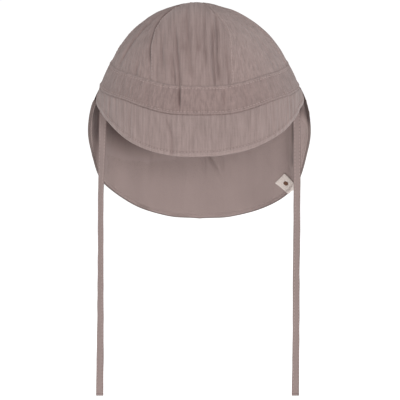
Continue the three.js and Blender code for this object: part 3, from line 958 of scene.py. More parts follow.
# %% [markdown]
# ## The front peak
# The peak is a crescent sewn to the band from ear to ear. It has no stiff board in it: it slopes
# down softly, its edge is turned and stitched, and a faint crease crosses it left of the middle.
# The table holds how far it reaches and how steeply it leans, from the brow round to the ears.

# %% The outline of the peak
PEAK_LENGTH = 41 * MM
PEAK_SPAN = 91.0
PEAK_DROOP = 7.0
# angle from the brow, length to the viewer's left and right as shares of PEAK_LENGTH, lean
PEAK_SECTIONS = [
    (0, 0.955, 0.955, 48), (7, 0.963, 0.943, 48), (15, 0.928, 0.889, 48), (22, 0.881, 0.849, 47.8),
    (30, 0.805, 0.783, 47), (38, 0.696, 0.699, 43), (46, 0.587, 0.611, 38), (52, 0.511, 0.533, 34.2),
    (58, 0.441, 0.453, 31), (64, 0.377, 0.381, 27.7), (70, 0.33, 0.313, 25), (82, 0.25, 0.25, 24),
    (92, 0.13, 0.13, 24)]


def rim_outward(angle):
    """The level direction straight out from the rim."""
    turn = np.radians(angle)
    out = np.stack([np.sin(turn) / RIM_HALF_WIDTH, -np.cos(turn) / RIM_HALF_DEPTH, 0 * turn], -1)
    return out / np.linalg.norm(out, axis=-1, keepdims=True)


def rim_point(angle):
    """Lower edge of the band, where the peak and flap are sewn on."""
    point = dome(angle, step_at(band_bottom(angle)))
    point[..., 2] = band_bottom(angle) - 2 * SEAM_GAP
    return point


def peak_reach(angle):
    """How far the peak reaches from its seam, which differs a little from left to right."""
    left = read_table(PEAK_SECTIONS, np.abs(angle), 1)
    right = read_table(PEAK_SECTIONS, np.abs(angle), 2)
    return PEAK_LENGTH * np.where(angle < 0, left, right)


def peak_plain(u, v):
    """The peak without relief: it leans out from the rim and droops a little near its seam."""
    angle = mix(PEAK_SPAN, -PEAK_SPAN, np.asarray(u, float))
    reach = peak_reach(angle)
    lean = np.radians(read_table(PEAK_SECTIONS, np.abs(angle), 3) + PEAK_DROOP * (1 - v))
    point = rim_point(angle)
    point = point + rim_outward(angle) * (reach * v * np.sin(lean))[..., None]
    point[..., 2] -= reach * v * np.cos(lean)
    return point


print("peak's front edge, in mm:", (peak_plain(0.5, 1.0) / MM).round(1))

# %% [markdown]
# The peak's face has a hem: a slightly thicker rim with a shallow line where it is stitched down.
# Its grain runs straight from back to front in the middle and fans out a little at the sides.

# %% The face of the peak
PEAK_HEM = 2.8
# crinkle spacing and depth in mm
PEAK_CRINKLE = (4.4, 0.8)
PEAK_CREASE_AT = -22.6
# two radii in mm that lay the flat grain round the head
PEAK_GRAIN_MM = (84, 96)


def peak_grain(point):
    """Distance across the grain in mm: the grain runs straight down the middle of the peak."""
    return PEAK_GRAIN_MM[0] * np.arcsin(np.clip(point[..., 0] / (PEAK_GRAIN_MM[1] * MM), -1, 1))


def peak_crease(across_mm, inside):
    """Depth of the one crease that crosses the peak left of the middle."""
    at = PEAK_CREASE_AT + 3.4 * ease(inside, 0.1, 0.65)
    return groove(across_mm, at, 0.8, 1.3) * ease(inside, 0.05, 0.3)


def peak_normal(u, v):
    return face_normals(peak_plain, u, np.clip(v, 2e-3, 1))


def peak_face(fine=True):
    def face(u, v):
        angle = mix(PEAK_SPAN, -PEAK_SPAN, np.asarray(u, float))
        inside = np.clip(v, 0, 1)
        reach = peak_reach(angle)
        point = peak_plain(u, v)
        across = peak_grain(point)
        to_edge, to_seam = (1 - inside) * reach / MM, inside * reach / MM
        relief = 0.25 * MM * (1 - ease(to_edge, PEAK_HEM * 0.8, PEAK_HEM * 1.2))
        relief = relief - 0.3 * MM * bell(to_edge, PEAK_HEM, 0.45)
        relief = relief - seam_roll(to_seam * MM, depth=0.4 * MM, width=0.4 * MM)
        relief = relief - peak_crease(across, inside)
        if fine:
            soft = ease(to_edge, 0, 2) * ease(to_seam, 0, 1.5)
            relief = relief + PEAK_CRINKLE[1] * MM * crinkles(across, to_seam, PEAK_CRINKLE[0], 61) * soft
            relief = relief + 0.3 * MM * crinkles(across, to_seam, FINE_CRINKLE, 67) * soft
            relief = relief + 0.3 * MM * puckers(across, to_seam, 63)
            relief = relief + 0.7 * MM * soft_noise(across / 26, to_seam / 40, 71) * inside
        return point + peak_normal(u, v) * relief[..., None]

    return face


print("deepest line of the peak's crease, in mm:", (peak_crease(PEAK_CREASE_AT, 0.3) / MM).round(2))

# %% [markdown]
# The peak takes the strong muslin, with painted shade along the hem's stitched line and in the
# crease, and none on the rim, which is painted lighter where the cloth turns into the light.

# %% The front peak
PEAK_GRID = (480, 60)
PEAK_SHADE = 0.12


def peak_piece():
    u, v = np.meshgrid(crowded(PEAK_GRID[0], 0.3), crowded(PEAK_GRID[1], 0.6), indexing="ij")
    outer = peak_face()(u, v)
    inner = peak_face(fine=False)(u, v) - peak_normal(u, v) * WALL
    angle = mix(PEAK_SPAN, -PEAK_SPAN, u)
    grain, reach = peak_grain(peak_plain(u, v)), peak_reach(angle) / MM
    to_edge = (1 - v) * reach
    # painted shade along the hem's stitched line and in the crease; the rim loses its base share, a painted
    # highlight
    shade = PEAK_SHADE + peak_crease(grain, v) / THIN_FULL_DEPTH + 0.2 * bell(to_edge, PEAK_HEM, 0.6)
    shade = shade - PEAK_SHADE * (1 - ease(to_edge, 1.2, 2))
    flat = cloth_places(grain, v * reach, CLOTH_NUMBERS["peak"] + np.clip(shade, 0, MOST_SHADE))
    piece = cloth_wall("peak", outer, inner, flat, [muslin, lining])
    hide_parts("front_peak")
    print(piece.name, "faces:", len(piece.data.polygons))


peak_piece()

# %% [markdown]
# ## The neck flap
# The flap is sewn on from ear to ear round the nape and hangs like a short curtain. Outside it
# is crinkled muslin, and inside, the side the photograph shows, a smooth lining. It flares a
# little from the seam, hangs in soft pleats, and its hem rises in a long curve to the ears. A
# cloth simulation would find pleats of its own, but not the ones in the photograph, so we lay
# them out.

# %% The hang of the flap
FLAP_LENGTH = 128.4 * MM
FLAP_FRONT_ANGLE = 93.0
FLAP_SIDE_LEAN = 0.12
FLAP_BACK_LEAN = 0.09
FLAP_SEAM_FLARE = 8.7 * MM
FLAP_PLEAT = 1.3 * MM
FLAP_PLEATS = 7
FLAP_HALF = 180 - FLAP_FRONT_ANGLE
# side (1 is the viewer's left), depth in mm, distance behind the hem and width of each wing's hollow
WINGS = [(-1, 7.0, 17, 9), (1, 1.0, 14, 8)]
# degrees from the nape and drops between which the hollows come in
WING_ANGLES = (48, 64)
WING_DROPS = (19 * MM, 33 * MM)
# angle from the nape, drop of the hem to the viewer's left and right as shares of FLAP_LENGTH
FLAP_SECTIONS = [
    (0, 1, 1), (15, 0.974, 0.978), (30, 0.903, 0.915), (45, 0.777, 0.802), (60, 0.608, 0.613),
    (68, 0.456, 0.456), (75, 0.334, 0.334), (82, 0.206, 0.206), (87, 0.108, 0.108)]


def flap_place(u):
    """Degrees from the nape and the hem's drop; u runs from the viewer's right front edge round."""
    from_nape = FLAP_HALF * np.sin(np.radians((1 - 2 * np.asarray(u, float)) * 90))
    left = read_table(FLAP_SECTIONS, np.abs(from_nape), 1)
    right = read_table(FLAP_SECTIONS, np.abs(from_nape), 2)
    return from_nape, FLAP_LENGTH * np.where(from_nape > 0, left, right)


def flap_plain(u, v):
    """The flap without relief: it leans, flares from the seam, and hangs in pleats."""
    from_nape, length = flap_place(u)
    drop = v * length
    at_nape = np.cos(np.radians(from_nape)) ** 2
    lean = mix(FLAP_SIDE_LEAN, FLAP_BACK_LEAN, at_nape)
    flare = FLAP_SEAM_FLARE * (1 - np.exp(-drop / (2 * FLAP_SEAM_FLARE)))
    pleat_wave = np.cos(from_nape / FLAP_HALF * math.pi * FLAP_PLEATS)
    pleat = FLAP_PLEAT * pleat_wave * ease(v, 0.05, 0.8) * np.cos(np.radians(from_nape))
    to_hem = (length - drop) / MM
    for side, deep, behind, wide in WINGS:
        wing = ease(side * from_nape, *WING_ANGLES) * ease(drop, *WING_DROPS)
        pleat = pleat - deep * MM * bell(to_hem, behind, wide) * wing
    point = rim_point(180 + from_nape)
    point = point + rim_outward(180 + from_nape) * (lean * drop + flare + pleat)[..., None]
    point[..., 2] -= drop
    return point


def flap_normal(u, v):
    return face_normals(flap_plain, np.clip(u, 2e-3, 1 - 2e-3), np.clip(v, 2e-3, 1))


print("lowest point of the hem, in mm:", (flap_plain(0.5, 1.0) / MM).round(1))

# %% [markdown]
# The two sides of the flap differ. Outside it is crinkled like the peak. Inside, the smooth lining
# has only a few short wrinkles just below the peak. Both sides share the turned hem, and both swell
# together, softly, because they are one cloth.

# %% The two sides of the flap
FLAP_HEM = 2.6
FLAP_RADIUS_MM = 88
# crinkle spacing and depth in mm
FLAP_CRINKLE = (4.6, 0.7)
# the wrinkles' drop and half height, then across, slant, half width and depth of each, in mm
WRINKLE_DROP = 79
WRINKLE_REACH = 11
FLAP_WRINKLES = [
    (9.2, 0.55, 1.1, 2.4), (3.2, 0.05, 1.5, 1.5), (17.0, 0.05, 1.3, 1.3), (-34, 0.0, 3.0, 1.2)]


def flap_relief(u, v):
    """Relief of the muslin outside and of the lining inside."""
    from_nape, length = flap_place(u)
    inside = np.clip(v, 0, 1)
    drop, to_hem = inside * length / MM, (1 - inside) * length / MM
    across = -np.radians(from_nape) * FLAP_RADIUS_MM
    soft = ease(to_hem, 0, 2) * ease(drop, 0, 2)
    hem = 0.2 * MM * (1 - ease(to_hem, FLAP_HEM * 0.8, FLAP_HEM * 1.2))
    hem = hem - 0.25 * MM * bell(to_hem, FLAP_HEM, 0.45)
    outside = hem + FLAP_CRINKLE[1] * MM * crinkles(across, drop, FLAP_CRINKLE[0], 83) * soft
    outside = outside + 0.3 * MM * crinkles(across, drop, FINE_CRINKLE, 85) * soft
    outside = outside - seam_roll(drop * MM, depth=0.45 * MM, width=0.6 * MM)
    wrinkle = np.zeros_like(across + drop)
    for at, slant, wide, deep in FLAP_WRINKLES:
        line = across - at - slant * (drop - WRINKLE_DROP)
        wrinkle = wrinkle + deep * MM * bell(line, 0, wide)
    wrinkle = wrinkle * bell(drop, WRINKLE_DROP, WRINKLE_REACH)
    broad, narrow = soft_noise(across / 14, drop / 70, 89), soft_noise(across / 5, drop / 40, 90)
    swell = soft * (0.9 * broad + 0.25 * narrow)
    return outside + swell * MM, hem - wrinkle - swell * MM


def flap_faces(u, v):
    """The muslin side and the lining side of the flap."""
    plain, normal = flap_plain(u, v), flap_normal(u, v)
    outside, inside = flap_relief(u, v)
    return plain + normal * outside[..., None], plain - normal * (WALL + inside)[..., None]


print("thickness at the middle, in mm:",
      (np.linalg.norm(np.subtract(*flap_faces(0.5, 0.5))) / MM).round(1))

# %% [markdown]
# Under the peak's left end the flap closes in on the band and makes a small cave, and little
# light comes back out of it. The lining there gets a deep, warm painted shade that stands in for
# that dark and for the peak's shadow, worked out from where a point lies on the flap, so it stays
# put when we walk round the hat. The left wing, the right corner at the ear and a thin line beside
# the right tie get painted shade too. The muslin on the other side of the same cloth gets none.

# %% The painted shade in the corners
# painted shade on the lining's left wing, darker towards the tie, and in the right corner at the ear
LEFT_WING_X = (-88 * MM, -83.5 * MM)
LEFT_WING_SHADES = (0.4, 0.85)
RIGHT_CORNER_SHADE = 0.8
# a thin line of painted shade beside the right tie
SHADE_LINE_X = 75.2 * MM
SHADE_LINE_SHARE = 0.6
# angle from the nape, the painted shade's depth, and the drops in mm where it starts to fade and ends
CORNER_SHADES = [
    (12, 0, 66, 78), (26, 0.5, 63, 79), (40, 0.8, 52, 74), (50, 0.9, 42, 68), (57, 0.92, 33, 64),
    (64, 0.92, 29, 62), (87, 0.92, 16, 50)]


def corner_shade(from_nape, drop, to_hem, x):
    """Share from 0 to 1 of painted shade that darkens the lining in the corners at the ears and in a thin
    line beside the right tie.
    """
    angles, depths, starts, ends = zip(*CORNER_SHADES)
    depth, start, end = (np.interp(from_nape, angles, row) for row in (depths, starts, ends))
    left_corner = depth * (1 - ease(drop, start * MM, end * MM)) * ease(to_hem, 0, 3 * MM)
    left_wing = ease(from_nape, 58, 66) * mix(*LEFT_WING_SHADES, ease(x, *LEFT_WING_X))
    left_wing = left_wing * ease(to_hem, 0.5 * MM, 4 * MM) * (1 - 0.5 * ease(drop, 40 * MM, 60 * MM))
    right_corner = RIGHT_CORNER_SHADE * ease(-from_nape, 76, 82) * (1 - ease(drop, 26 * MM, 44 * MM))
    fold = SHADE_LINE_SHARE * bell(x, SHADE_LINE_X, 0.7 * MM) * (1 - ease(drop, 72 * MM, 80 * MM))
    return np.clip(np.maximum(left_wing, left_corner) + np.maximum(right_corner, fold), 0, 0.95)


print("shade in the left corner, 30 mm down:", corner_shade(60.0, 30 * MM, 50 * MM, -80 * MM).round(2))

# %% [markdown]
# The flap was cut as a rectangle: the seam's length round the nape by the length down the middle.
# Its corners are cut away by the hem's curve, so we print the area of one side. Its round edge
# takes the painted hem shade.

# %% The neck flap
FLAP_GRID = (390, 108)


def flap_piece():
    u, v = np.meshgrid(np.linspace(0, 1, FLAP_GRID[0] + 1), crowded(FLAP_GRID[1], 0.5), indexing="ij")
    outer, inner = flap_faces(u, v)
    from_nape, length = flap_place(u)
    shade = corner_shade(from_nape, v * length, (1 - v) * length, inner[..., 0])
    across_mm, number = -np.radians(from_nape) * FLAP_RADIUS_MM, CLOTH_NUMBERS["flap"]
    flat = cloth_places(across_mm, v * length / MM, number)
    lined = cloth_places(across_mm, v * length / MM, number + shade)
    cloths = [muslin, lining, hem_painted_shade]
    piece = cloth_wall("flap", outer, inner, flat, cloths, edge=2, lined=lined)
    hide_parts("neck_flap")
    side_area = sum(face.area for face in piece.data.polygons) / 2
    print(piece.name, "faces:", len(piece.data.polygons), "one side, in square cm:", round(side_area * 1e4))


flap_piece()

# %% [markdown]
# ## The ties
# Each tie is a strip folded over its raw edges and stitched along both sides, so it is flat and
# limp, with round edges. It hangs straight down from inside the band at the ear
# and turns lazily about its own length. Its route is a list of points, because a
# hanging cord has no formula, and each point has an angle that says which way the tape faces.

# %% Routes of the ties
LEFT_TIE_ROUTE = [
    (-75.2, -4, 9), (-75.8, -4.1, 1), (-76.6, -4.2, -8), (-77.2, -4.2, -18), (-77.5, -4, -32),
    (-78, -3.8, -50), (-78.8, -3.7, -70), (-79.2, -3.7, -92), (-79.3, -3.6, -114),
    (-79.5, -3.5, -136), (-79.6, -3.4, -158), (-79.7, -3.3, -180), (-79.9, -3.2, -202),
    (-80.2, -3.1, -222), (-80.4, -3, -236), (-80.5, -3, -247)]
RIGHT_TIE_ROUTE = [
    (75.2, -4, 9), (76, -4.1, 1), (77, -4.2, -8), (77.6, -4.2, -18), (78, -4, -32),
    (78.1, -3.8, -50), (78.1, -3.7, -70), (78.1, -3.7, -92), (78.1, -3.6, -114),
    (77.8, -3.5, -136), (77.7, -3.4, -158), (77.7, -3.3, -180), (77.6, -3.2, -202),
    (77.5, -3.1, -222), (77.4, -3, -236), (77.3, -3, -247)]
LEFT_TIE_TURN = [90, 55, 20, 10, 20, 32, 45, 45, 45, 45, 42, 36, 28, 20, 10, 0]
RIGHT_TIE_TURN = [-90, -60, -35, -25, -20, -20, -25, -28, -28, -28, -26, -28, -24, -20, -10, 0]


def along_list(values, shares):
    """Smooth values between the points of a list, at shares of its whole."""
    values = np.asarray(values, float).reshape(len(values), -1)
    place = np.linspace(0, 1, len(values))
    return np.stack([
        read_table(list(zip(place, column)), shares, 1) for column in values.T], -1)


def tie_frames(route, turns, shares):
    """Middle, across and through directions of a tie at shares of its length."""
    centre = along_list(route, shares) * MM
    turn = np.radians(along_list(turns, shares)[:, 0])
    across = np.stack([np.cos(turn), -np.sin(turn), 0 * turn], -1)
    through = np.stack([-np.sin(turn), -np.cos(turn), 0 * turn], -1)
    return centre, across, through


print("left tie's end, in mm:", (tie_frames(LEFT_TIE_ROUTE, LEFT_TIE_TURN, [1.0])[0] / MM).round(1))

# %% [markdown]
# Round a route we lay rings with the outline of the folded tape: flat, with round edges, and a
# little hollow where each row of stitches pulls the layers together. The end is folded under, so
# the last few millimetres are a little thicker, and painted shade darkens the colour along that
# fold and at the edges, most on the right edge.

# %% The folded tape
TIE_WIDTH = 6 * MM
TIE_THICKNESS = 1.2 * MM
TIE_LENGTH_MM = 256
TIE_HEM = 3.0
TIE_RINGS = 260
TIE_SIDES = 28
TIE_ROW_SHARE = 0.68


def tie_section():
    """Outline of the folded tape: flat, with round edges and a stitch groove near each edge."""
    turn = np.linspace(0, 2 * math.pi, TIE_SIDES, endpoint=False)
    across = np.sign(np.cos(turn)) * np.abs(np.cos(turn)) ** 0.55
    through = np.sign(np.sin(turn)) * np.abs(np.sin(turn)) ** 0.38
    hollow = 1 - 0.28 * bell(np.abs(across), TIE_ROW_SHARE, 0.09)
    return across * TIE_WIDTH / 2, through * hollow * TIE_THICKNESS / 2


def tie_shade(off_mm, to_end_mm):
    """Share of painted shade: darker towards the edges, most on the right, and along the end's hem."""
    edges = 0.1 * ease(np.abs(off_mm), 1.8, 2.8) + 0.2 * ease(off_mm, 1.6, 2.8)
    hem = 0.4 * bell(to_end_mm, TIE_HEM, 0.45) + 0.35 * (1 - ease(to_end_mm, 0.3, 1.0))
    return edges + hem


print("shade at a tie's right edge:", tie_shade(2.8, 100.0).round(2))

# %% [markdown]
# Each tie hangs free and limp, with its real length and width.
# The two differ in route, in the seed of their ripples and in their painted shade, which is deeper on the
# right tie.

# %% The ties
# name: the solid it replaces, route, turn, seed of the ripples, painted shade kept in the cloth
TIES = {
    "left_tie": ("tie_left", LEFT_TIE_ROUTE, LEFT_TIE_TURN, 91, 0.03),
    "right_tie": ("tie_right", RIGHT_TIE_ROUTE, RIGHT_TIE_TURN, 95, 0.14)}


def tie_points(route, turns, seed, shares):
    """Rings of points round a tie's route, and the route itself."""
    centre, across, through = tie_frames(route, turns, shares)
    section_across, section_through = tie_section()
    run, to_end = shares * TIE_LENGTH_MM, (1 - shares) * TIE_LENGTH_MM
    ripple = 1 + 0.03 * soft_noise(run / 9, 0 * run, seed)
    rounding = np.clip(to_end / 0.7, 0, 1) ** 0.5
    rounding = rounding * (1.06 - 0.06 * ease(to_end, TIE_HEM - 0.4, TIE_HEM + 0.4))
    wide = section_across[None, :] * (ripple * mix(0.9, 1, rounding))[:, None]
    buckle = 0.22 * MM * soft_noise(run[:, None] / 7, section_across[None, :] / MM / 3, seed + 1)
    thick = section_through[None, :] * mix(0.3, 1, rounding)[:, None] + buckle
    rings = centre[:, None] + across[:, None] * wide[..., None] + through[:, None] * thick[..., None]
    return rings, centre


def tie_piece(name, node, route, turns, seed, kept_shade):
    shares = crowded(TIE_RINGS - 1, 0.6)
    points, centre = tie_points(route, turns, seed, shares)
    number = np.arange(TIE_RINGS * TIE_SIDES).reshape(TIE_RINGS, TIE_SIDES)
    near, far = number[:-1], number[1:]
    quads = np.stack([near, np.roll(near, -1, 1), np.roll(far, -1, 1), far], -1).reshape(-1, 4)
    faces = quads.tolist() + [number[0, ::-1].tolist(), number[-1].tolist()]
    off = (points[..., 0] - centre[:, None, 0]) / MM
    run = (shares * TIE_LENGTH_MM)[:, None]
    # painted shade on the tie: its edges, its end's hem, and more on the right tie
    flat = cloth_places(tie_section()[0] / MM, run, kept_shade + tie_shade(off, TIE_LENGTH_MM - run))
    piece = mesh_piece(name, points.reshape(-1, 3), faces, flat, None, [tape])
    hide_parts(node)


for tie_name, facts in TIES.items():
    tie_piece(tie_name, *facts)

# %% [markdown]
# ## The label
# A small cream tape is folded over the flap's hem and sewn down a little askew. We lay it out on
# the flat cloth first and then wrap it, so it follows the flap on both sides, bumps and all.

# %% Where the label lies
LABEL_WIDTH = 12.4
LABEL_LENGTH = 12.5
LABEL_THICKNESS = 0.7
LABEL_HEM_ANGLE = 130.0
LABEL_SKEW = 14.0
LABEL_SLANT = 2.0
LABEL_GAP = 0.15
# how far to each side the hem's direction is measured
HEM_STEP = 3.0


def flap_share(across_mm):
    """The flap's u at a distance across its cloth."""
    from_nape = np.degrees(-across_mm / FLAP_RADIUS_MM)
    return (1 - np.degrees(np.arcsin(np.clip(from_nape / FLAP_HALF, -1, 1))) / 90) / 2


def label_frame():
    """A point of the hem, the hem's direction and the label's direction, on the flat cloth in mm."""
    across = np.radians(180 - LABEL_HEM_ANGLE) * FLAP_RADIUS_MM
    spots = np.array([across - HEM_STEP, across, across + HEM_STEP])
    drops = flap_place(flap_share(spots))[1] / MM
    along = np.array([2 * HEM_STEP, drops[2] - drops[0]])
    along /= np.linalg.norm(along)
    upward = np.array([along[1], -along[0]])
    turn = math.radians(LABEL_SKEW)
    askew = np.array([[math.cos(turn), math.sin(turn)], [-math.sin(turn), math.cos(turn)]])
    slant = math.radians(LABEL_SLANT)
    slanted = np.array([[math.cos(slant), math.sin(slant)], [-math.sin(slant), math.cos(slant)]])
    return np.array([across, drops[1]]), along, slanted @ along, askew @ upward


def label_place(side, up):
    """A place of the label's leaf on the flap's flat cloth; up is 0 at the hem, 1 at its end."""
    hem, along, across, upward = label_frame()
    spot = hem + side[..., None] * across
    drop_limit = flap_place(flap_share(spot[..., 0]))[1] / MM
    reach = (spot[..., 1] - drop_limit) / max(-upward[1], 1e-6)
    return spot + (reach + (LABEL_LENGTH - reach) * up)[..., None] * upward


def label_layer(side, up, inside, lift):
    """A layer of the label on the lining side or the muslin side of the flap."""
    spot = label_place(side, up)
    u = flap_share(spot[..., 0])
    v = np.clip(spot[..., 1] * MM / flap_place(u)[1], 0, 1)
    outer, inner = flap_faces(u, v)
    normal = flap_normal(u, v)
    away = (LABEL_GAP + lift) * MM
    return inner - normal * away if inside else outer + normal * away


print("label's middle, in mm:", (label_layer(np.zeros(1), np.full(1, 0.5), True, 0)[0] / MM).round(1))

# %% [markdown]
# The tape goes down one side of the flap, round the hem in a half circle and up the other side.
# Two such surfaces, a tape's thickness apart, make a wall like any other. It is a folded sheet,
# whose flat places run over its whole cut length: both leaves and the turn between them.

# %% The folded label
LABEL_COLUMNS = 40
LABEL_LEAF_ROWS = 36
LABEL_FOLD_ROWS = 12
LABEL_TURN = 3
LABEL_CUT = (LABEL_WIDTH, 2 * LABEL_LENGTH + LABEL_TURN)


def label_surface(lift):
    """One side of the whole folded label: inner leaf, fold round the hem, outer leaf."""
    side = np.linspace(-LABEL_WIDTH / 2, LABEL_WIDTH / 2, LABEL_COLUMNS + 1)
    up = np.linspace(1, 0, LABEL_LEAF_ROWS + 1)
    grid_side, grid_up = np.meshgrid(side, up, indexing="ij")
    inner = label_layer(grid_side, grid_up, True, lift)
    outer = label_layer(grid_side, grid_up[:, ::-1], False, lift)
    start, end = inner[:, -1], outer[:, 0]
    middle, half = (start + end) / 2, (start - end) / 2
    down = inner[:, -1] - inner[:, -2] + outer[:, 0] - outer[:, 1]
    down /= np.linalg.norm(down, axis=-1, keepdims=True)
    size = np.linalg.norm(half, axis=-1, keepdims=True)
    fold = [middle + half * math.cos(t) + down * size * math.sin(t)
            for t in np.linspace(0, math.pi, LABEL_FOLD_ROWS + 2)[1:-1]]
    return np.concatenate([inner, np.stack(fold, 1), outer], 1)


def label_piece():
    far, near = label_surface(LABEL_THICKNESS), label_surface(0)
    columns, rows = far.shape[:2]
    across, run = np.linspace(0, LABEL_CUT[0], columns), np.linspace(0, LABEL_CUT[1], rows)
    flat = cloth_places(across[:, None], run, CLOTH_NUMBERS["label"])
    cloths = [label_cloth, label_cloth]
    piece = cloth_wall("label_tape", far[::-1], near[::-1], flat, cloths)
    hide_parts("label")
    print(piece.name, "faces:", len(piece.data.polygons))


label_piece()

# %% [markdown]
# A plain round dot, worked in raised thread, marks the inner leaf. It is a shallow lens laid on
# the label's own surface, so it bends with it.

# %% The dot
DOT_RADIUS = 2.2
DOT_RINGS = 9
DOT_SIDES = 40
DOT_RISE = 0.28
DOT_SINK = 0.06


def label_dot():
    ring, turn = np.meshgrid(np.linspace(0.02, 1, DOT_RINGS),
                             np.linspace(0, 2 * math.pi, DOT_SIDES, endpoint=False), indexing="ij")
    side = DOT_RADIUS * ring * np.cos(turn)
    up = 0.5 + DOT_RADIUS * ring * np.sin(turn) / LABEL_LENGTH
    lift = LABEL_THICKNESS + DOT_RISE * np.sqrt(np.clip(1 - ring**2, 0, 1)) - DOT_SINK
    points = label_layer(side, up, True, lift[..., None])
    number = np.arange(points[..., 0].size).reshape(ring.shape)
    after = np.roll(number, -1, 1)
    quads = np.stack([number[:-1], after[:-1], after[1:], number[1:]], -1).reshape(-1, 4).tolist()
    quads.append(number[0, ::-1].tolist())
    flat = cloth_places(side, up * LABEL_LENGTH)
    piece = mesh_piece("label_dot", points.reshape(-1, 3), quads, flat, None, [mark_thread])
    print(piece.name, "faces:", len(piece.data.polygons))


label_dot()

# %% [markdown]
# ## Stitches
# Every seam of the real hat is sewn with thread in the hat's own colour, and the small raised
# stitches catch the light as fine dotted lines; the thread's finish is painted lighter than the
# cloth, a painted highlight for that. We walk along each seam on the cloth's own face
# and set one short strand after another. Each strand dips at both ends, where the needle went in.
# Thousands of separate objects would slow the file down, so a seam's stitches share one mesh.

# %% Sewing a row
STITCH = 2.1 * MM
STITCH_GAP = 0.75 * MM
THREAD_RADIUS = 0.23 * MM
THREAD_FLAT_MM = 0.2
STITCH_SIDES = 6
# place along a stitch, size as a share of THREAD_RADIUS, height above the cloth in mm
STITCH_RINGS = np.array([
    (0.0, 0.35, -0.14), (0.16, 0.9, 0.02), (0.5, 1.0, 0.12), (0.84, 0.9, 0.02), (1.0, 0.35, -0.14)])
STITCH_TURN = 2 * math.pi * np.arange(STITCH_SIDES) / STITCH_SIDES


def read_rows(at, keys, rows):
    """Each of the three coordinates of some rows, read between the keys."""
    return np.stack([np.interp(at, keys, rows[:, i]) for i in range(3)], -1)


def sew(points, normals):
    """Strands along one seam, as a (stitches, rings, sides, 3) grid, and each ring's distance."""
    lengths = np.concatenate([[0], np.cumsum(np.linalg.norm(np.diff(points, axis=0), axis=1))])
    starts = np.arange(STITCH_GAP, lengths[-1] - STITCH, STITCH + STITCH_GAP)
    distances = starts[:, None] + STITCH * STITCH_RINGS[None, :, 0]
    centre = read_rows(distances, lengths, points)
    shares = np.linspace(0, 1, len(points))
    normal = read_rows(np.interp(distances, lengths, shares), shares, normals)
    normal /= np.linalg.norm(normal, axis=-1, keepdims=True)
    forward = centre[:, -1:] - centre[:, :1]
    forward = forward / np.linalg.norm(forward, axis=-1, keepdims=True)
    sideways = np.cross(normal, forward)
    centre = centre + normal * (STITCH_RINGS[:, 2] * MM)[None, :, None]
    radius = THREAD_RADIUS * STITCH_RINGS[:, 1][None, :, None, None]
    round_it = (normal[:, :, None] * np.cos(STITCH_TURN)[:, None]
                + sideways[:, :, None] * np.sin(STITCH_TURN)[:, None])
    return centre[:, :, None] + radius * round_it, distances


print("stitches on 100 mm of seam:", int(100 * MM / (STITCH + STITCH_GAP)))

# %% [markdown]
# One mesh holds all the rows of a seam. A row is the points of the seam with the normals there,
# so the same function sews the crown, the hems, the tapes and the label.

# %% One mesh of stitches
def stitch_piece(name, rows, material):
    vertices, faces, cloth = [], [], []
    made = 0
    for points, normals in rows:
        body, distances = sew(points, normals)
        number = made + np.arange(body[..., 0].size).reshape(body.shape[:3])
        near, far = number[:, :-1], number[:, 1:]
        sides = np.stack([near, np.roll(near, -1, 2), np.roll(far, -1, 2), far], -1)
        faces += sides.reshape(-1, 4).tolist()
        faces += number[:, 0, ::-1].tolist() + number[:, -1].tolist()
        vertices.append(body.reshape(-1, 3))
        around = np.arange(STITCH_SIDES) * THREAD_FLAT_MM
        cloth.append(cloth_places(around, distances[:, :, None] / MM).reshape(-1, 3))
        made += body[..., 0].size
    mesh_piece(name, np.concatenate(vertices), faces, np.concatenate(cloth), None, [material])
    print(name, "has", made // (len(STITCH_RINGS) * STITCH_SIDES), "stitches")


# %% [markdown]
# The crown's seams each have one row, just inside the gore that lies on top. The band has a row
# at each seam, and the peak and the flap one along the hem, which the flap shows on both sides.

# %% Rows on the crown, band, peak and flap
GORE_ROW_MM = 1.7


def face_row(face, u, v):
    """A row of stitches on a face, from arrays of its two parameters."""
    points = face(u, v)
    return points, face_normals(face, u, v, 2e-4)


def crown_rows():
    """One row for each gore, left out near the top, where the gore gets too narrow for it."""
    rows = []
    v = np.linspace(0.015, 0.93, 700)
    for name in GORE_NAMES:
        width = gore_place(name, np.zeros_like(v), v)[2]
        share = GORE_ROW_MM * MM / np.maximum(width, 4 * MM)
        wide_enough = width > 6 * MM
        rows.append(face_row(gore_face(name), share[wide_enough], v[wide_enough]))
    return rows


def band_rows():
    u = np.linspace(0, 1, 4000)
    height = (band_top(band_angle(u)) - band_bottom(band_angle(u))) / MM
    low = face_row(band_face(), u, BAND_BOTTOM_ROW / height)
    high = face_row(band_face(), u, 1 - BAND_TOP_ROW / height)
    return [low, high]


def peak_rows():
    u = np.linspace(0.015, 0.985, 3000)
    reach = peak_reach(mix(PEAK_SPAN, -PEAK_SPAN, u)) / MM
    return [face_row(peak_face(), u, 1 - PEAK_HEM / reach)]


def flap_rows():
    u = np.linspace(0.02, 0.98, 3000)
    v = 1 - FLAP_HEM * MM / flap_place(u)[1]
    outer, inner = flap_faces(u, v)
    normal = flap_normal(u, v)
    return [(outer, normal), (inner, -normal)]


for name, rows in (("crown_stitches", crown_rows()), ("band_stitches", band_rows()),
                   ("peak_stitches", peak_rows()), ("flap_stitches", flap_rows())):
    stitch_piece(name, rows, thread)

# %% [markdown]
# A tie has a row near each edge, on both of its sides, and the label has one across the top of
# each leaf, sewn in its own cream.

# %% Rows on the ties and the label
LABEL_ROW_MM = 1.3
LABEL_ROW_INSET = 0.8


def tie_rows(route, turns):
    shares = np.linspace(0.03, 0.9965, 1500)
    centre, across, through = tie_frames(route, turns, shares)
    rows = []
    for side in (-1, 1):
        for face in (-1, 1):
            spot = centre + across * side * TIE_ROW_SHARE * TIE_WIDTH / 2
            rows.append((spot + through * face * TIE_THICKNESS * 0.40, through * face))
    return rows


